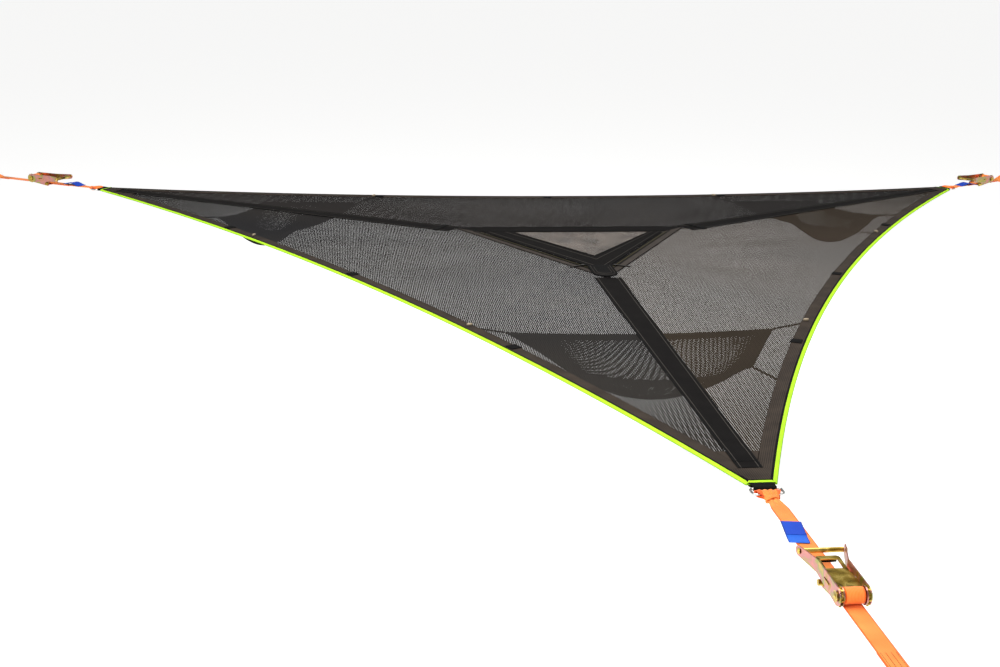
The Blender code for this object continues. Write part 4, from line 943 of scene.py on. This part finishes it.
def short_strap(corner):
    """Hitched on the ring, run round the fixed bolt and sewn back on itself."""
    bolt, bar = SPOOL_REACH[corner] - BOLT_BACK, RING_OUTER_BAR - CORNER_CUT[corner]
    end, clear = bolt - FOLD_BACK[corner], SEAT_GAP + WEBBING_THICKNESS / 2
    leave = bolt - 5 * (BOLT_RADIUS + clear)
    route = resample([
        (end, -PLY_OFFSET), (leave, -PLY_OFFSET), *arc(bolt, BOLT_RADIUS + clear, -100, 100, 12),
        (leave, PLY_OFFSET), (bar + 0.017, PLY_OFFSET), *arc(bar, RING_WIRE + clear, 60, 300, 12),
        (bar + 0.017, -PLY_OFFSET), (bar + 0.043, -PLY_OFFSET)], 0.0025)
    u, w = route.T
    halves = np.interp(u - bar, [0.0, 0.017, 0.036, 0.075], [0.026, 0.0135, 0.0135, WEBBING_HALF])
    # The lower ply slips to the left of the neck, so that both plies show there
    slip = np.where(w < 0, -0.006, 0.0) * np.interp(
        u - bar, [0.022, 0.036, 0.080, 0.120], [0.0, 1.0, 0.5, 0.0])
    total = run_of(route)[-1]
    strap = corner_strap(corner, np.column_stack([u, slip, w]), halves, WEBBING_THICKNESS, 24,
                         lift=pleats(2.5, 0.8 * MM, total - 0.12, total - 0.02))
    # Second loop of the hitch, spread over the ring as far as the tab
    tab_side = bar - 0.0135
    over = [(bar + 0.027, 2.4 * MM), (bar + 0.012, 4.6 * MM), (bar, 6.4 * MM),
            (tab_side + 0.006, 5.9 * MM)]
    under = [(u, -w) for u, w in over[::-1]]
    route = resample(over + arc(tab_side + 0.004, 5.4 * MM, 80, 280, 12) + under, 0.002)
    halves = np.interp(route[:, 0] - bar, [-0.0135, 0.0, 0.014, 0.027],
                       [0.0290, 0.0255, 0.0170, 0.0120])
    fan = corner_strap(corner, route, halves, 1.4 * MM, 28,
                       lift=pleats(4.5, 0.9 * MM, 0.0, run_of(route)[-1]))
    # Band of the hitch round the neck, lying aslant
    band = [(bar + 0.022 - 0.0075 * cos(a), 0.0170 * cos(a), 0.0050 * sin(a))
            for a in np.linspace(-pi / 2, 1.5 * pi, 49)]
    neck = strap_body(in_corner(corner, band), (*direction(corner), 0.0), 0.0078, 1.3 * MM, 10,
                      lift=lambda run, s: 0.5 * MM * cos(2.5 * pi * s))
    piece("hitched_strap_" + corner, gather([strap, fan, neck]), orange_webbing,
          ["short_strap_" + corner])
    spots = [(end + row, 0.0033 * k - 0.0012) for row in (0.004, 0.010, 0.044, 0.050)
             for k in range(-5, 6)]
    piece("strap_stitching_" + corner, stitches(
        corner, spots, (0.0006, 0.0012), (0.0, 0.0024), 1.6 * MM, 1.95 * MM),
        net_yarn)


def label(corner):
    """Plain woven label, doubled over its first part; on the far corners its middle buckles up."""
    buckle = 0.0 if corner == "front" else 0.009
    cosine, sine = cos(LABEL_SKEW), sin(LABEL_SKEW)
    for name, cloth, length, height, solids in (
            ("sewn_label_", pale_satin, LABEL_LENGTH, 2.4 * MM, ["strap_label_" + corner]),
            ("label_fold_", blue_satin, 0.62 * LABEL_LENGTH, 3.4 * MM, ())):
        lay = [[(length * i / 32, LABEL_HALF * (k / 4 - 1)) for k in range(9)] for i in range(33)]
        rows = [in_corner(corner, [
            (LABEL_START[corner] + a * cosine - b * sine, a * sine + b * cosine,
             height + buckle * sin(pi * a / LABEL_LENGTH) ** 2
             + 0.0016 * ease((a - 0.07) / 0.025)) for a, b in row]) for row in lay]
        piece(name + corner, thick_sheet(rows, lay, 0.7 * MM), cloth, solids)


def wound_webbing(corner):
    """The strap wound on the shaft: the same spiral as in the solid, with a finer line."""
    first = SHAFT_RADIUS + SHAFT_CLEARANCE + WEBBING_THICKNESS / 2
    last = first + (WEBBING_THICKNESS + WOUND_GAP) * WOUND_TURNS
    start = -90.0 - 360.0 * WOUND_TURNS
    radius, angle = np.linspace((first, radians(start)), (last, radians(-90.0)), 141).T
    spiral = np.column_stack([radius * np.cos(angle), radius * np.sin(angle)])
    slot = radians(start - 35.0)
    towards = np.array((cos(slot), sin(slot))) * SHAFT_RADIUS
    inner, bend = towards * 0.8, towards * 1.44
    lead = [towards * 0.1, inner] + [
        inner * (1 - p) ** 2 + bend * 2 * p * (1 - p) + spiral[0] * p ** 2
        for p in (0.2, 0.4, 0.6, 0.8)]
    route = np.vstack([lead, spiral]) + (SPOOL_REACH[corner], SPOOL_HEIGHT)
    piece("spool_turns_" + corner, corner_strap(corner, route, WEBBING_HALF, WEBBING_THICKNESS, 10),
          orange_webbing, ["wound_webbing_" + corner], "spool_" + corner)


# Small hardware that the solids leave out

def disc(corner, centre, start, stop, radii, sides):
    """Turned piece on an axis across the strap; radii pair with even steps from start to stop."""
    points = [(centre[0], t, centre[1]) for t in np.linspace(start, stop, len(radii))]
    return round_cord(in_corner(corner, points), np.array(radii) * MM, sides)


def hardware(corner):
    """Washers and end discs on the spool, rivets on the grip, the return spring's dark rod."""
    def on_handle(distance, below=0.0):
        cosine, sine = cos(HANDLE_ANGLE), sin(HANDLE_ANGLE)
        return (SPOOL_REACH[corner] - distance * cosine - below * sine,
                SPOOL_HEIGHT + distance * sine - below * cosine)

    rod = disc(corner, on_handle(0.1275, 0.0042), -0.016, 0.016, [1.6, 2.3, 2.3, 2.3, 1.6], 12)
    piece("pawl_rod_" + corner, rod, dark_steel, body="drive_pawl_" + corner)
    for name, body, distance, discs in (
            ("spool_washers_", "spool_", 0.0, ((0.0021, 0.0034, [5.2, 10.5, 11.2, 6.0], 8),
                                               (0.0035, 0.0049, [5.0, 5.0, 4.0, 1.0], 16))),
            ("grip_rivets_", "handle_", HANDLE_LENGTH, (
                (HANDLE_FLARE + 0.0002, HANDLE_FLARE + 0.0030, [6.2, 6.0, 4.8, 1.5], 18),))):
        piece(name + corner, gather([
            disc(corner, on_handle(distance), sign * (HANDLE_OUTER + start),
                 sign * (HANDLE_OUTER + stop), radii, sides)
            for sign in (1, -1) for start, stop, radii, sides in discs]),
            yellow_zinc, body=body + corner)


for corner in CORNER_ANGLE:
    ring_tab(corner)
    short_strap(corner)
    label(corner)
    wound_webbing(corner)
    hardware(corner)


# Metal pieces keep their solids; their pressed edges are rounded a little
METAL = {"ratchet_frame": iridescent_zinc, "handle": iridescent_zinc, "grip_bar": yellow_zinc,
         "drive_pawl": yellow_zinc, "lock_pawl": yellow_zinc, "spool": yellow_zinc,
         "fixed_bolt": yellow_zinc, "strap_ring": steel, "zip_slider": dark_steel}
for name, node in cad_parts.items():
    for start, material in METAL.items():
        if name.startswith(start + "_"):
            for slot in node.material_slots:
                slot.material = material
            if start not in ("strap_ring", "zip_slider"):
                weld = node.modifiers.new("weld", "WELD")
                weld.merge_threshold = 0.00001
                bevel = node.modifiers.new("rounded_edges", "BEVEL")
                bevel.width = 0.35 * MM
                bevel.segments = 2
                bevel.limit_method = "ANGLE"
                bevel.angle_limit = radians(40)
                bevel.use_clamp_overlap = True


# Floor and light
FLOOR_HALF, FLOOR_DROP = 60.0, 1.25
floor_mesh = bpy.data.meshes.new("studio_floor")
floor_mesh.from_pydata([(x * FLOOR_HALF, y * FLOOR_HALF, -FLOOR_DROP) for x, y in (
    (-1, -1), (1, -1), (1, 1), (-1, 1))], [], [(0, 1, 2, 3)])
floor_mesh.materials.append(begin(
    "pale_floor", 0.95, Specular_IOR_Level=0.0, Base_Color=srgb("#f4f4f2"),
    Emission_Color=srgb("#ffffff"), Emission_Strength=0.66)[0])
floor = linked("studio_floor", floor_mesh)

# Bright at the horizon and dimmer overhead, so that the metal has something to reflect
world = bpy.data.worlds.new("studio")
bpy.context.scene.world = world
world.use_nodes = True
sky = world.node_tree
place = add(sky, "TexCoord", {}, output="Generated")
height = add(sky, "SeparateXYZ", {"Vector": place}, output="Z")
add(sky, "ValToRGB", {"Fac": height}, to=sky.nodes["Background"].inputs["Color"],
    stops=((0.0, "#ffffff"), (0.12, "#eaeaea"), (0.35, "#9a9a9a"), (1.0, "#7c7c7c")))
sky.nodes["Background"].inputs["Strength"].default_value = 1.0
bpy.context.scene.view_settings.view_transform = "Standard"


def softbox(name, place, aim, size, power):
    lamp = bpy.data.lights.new(name, "AREA")
    lamp.shape = "RECTANGLE"
    lamp.size = lamp.size_y = size
    lamp.energy = power
    thing = linked(name, lamp)
    thing.location = place
    thing.rotation_euler = (Vector(aim) - Vector(place)).to_track_quat("-Z", "Y").to_euler()


softbox("softbox_over", (0.0, 2.0, 4.5), (0.0, 3.0, 0.0), 5.0, 320.0)
softbox("softbox_left", (-3.5, -1.5, 2.2), (0.2, 0.5, 0.0), 1.6, 130.0)
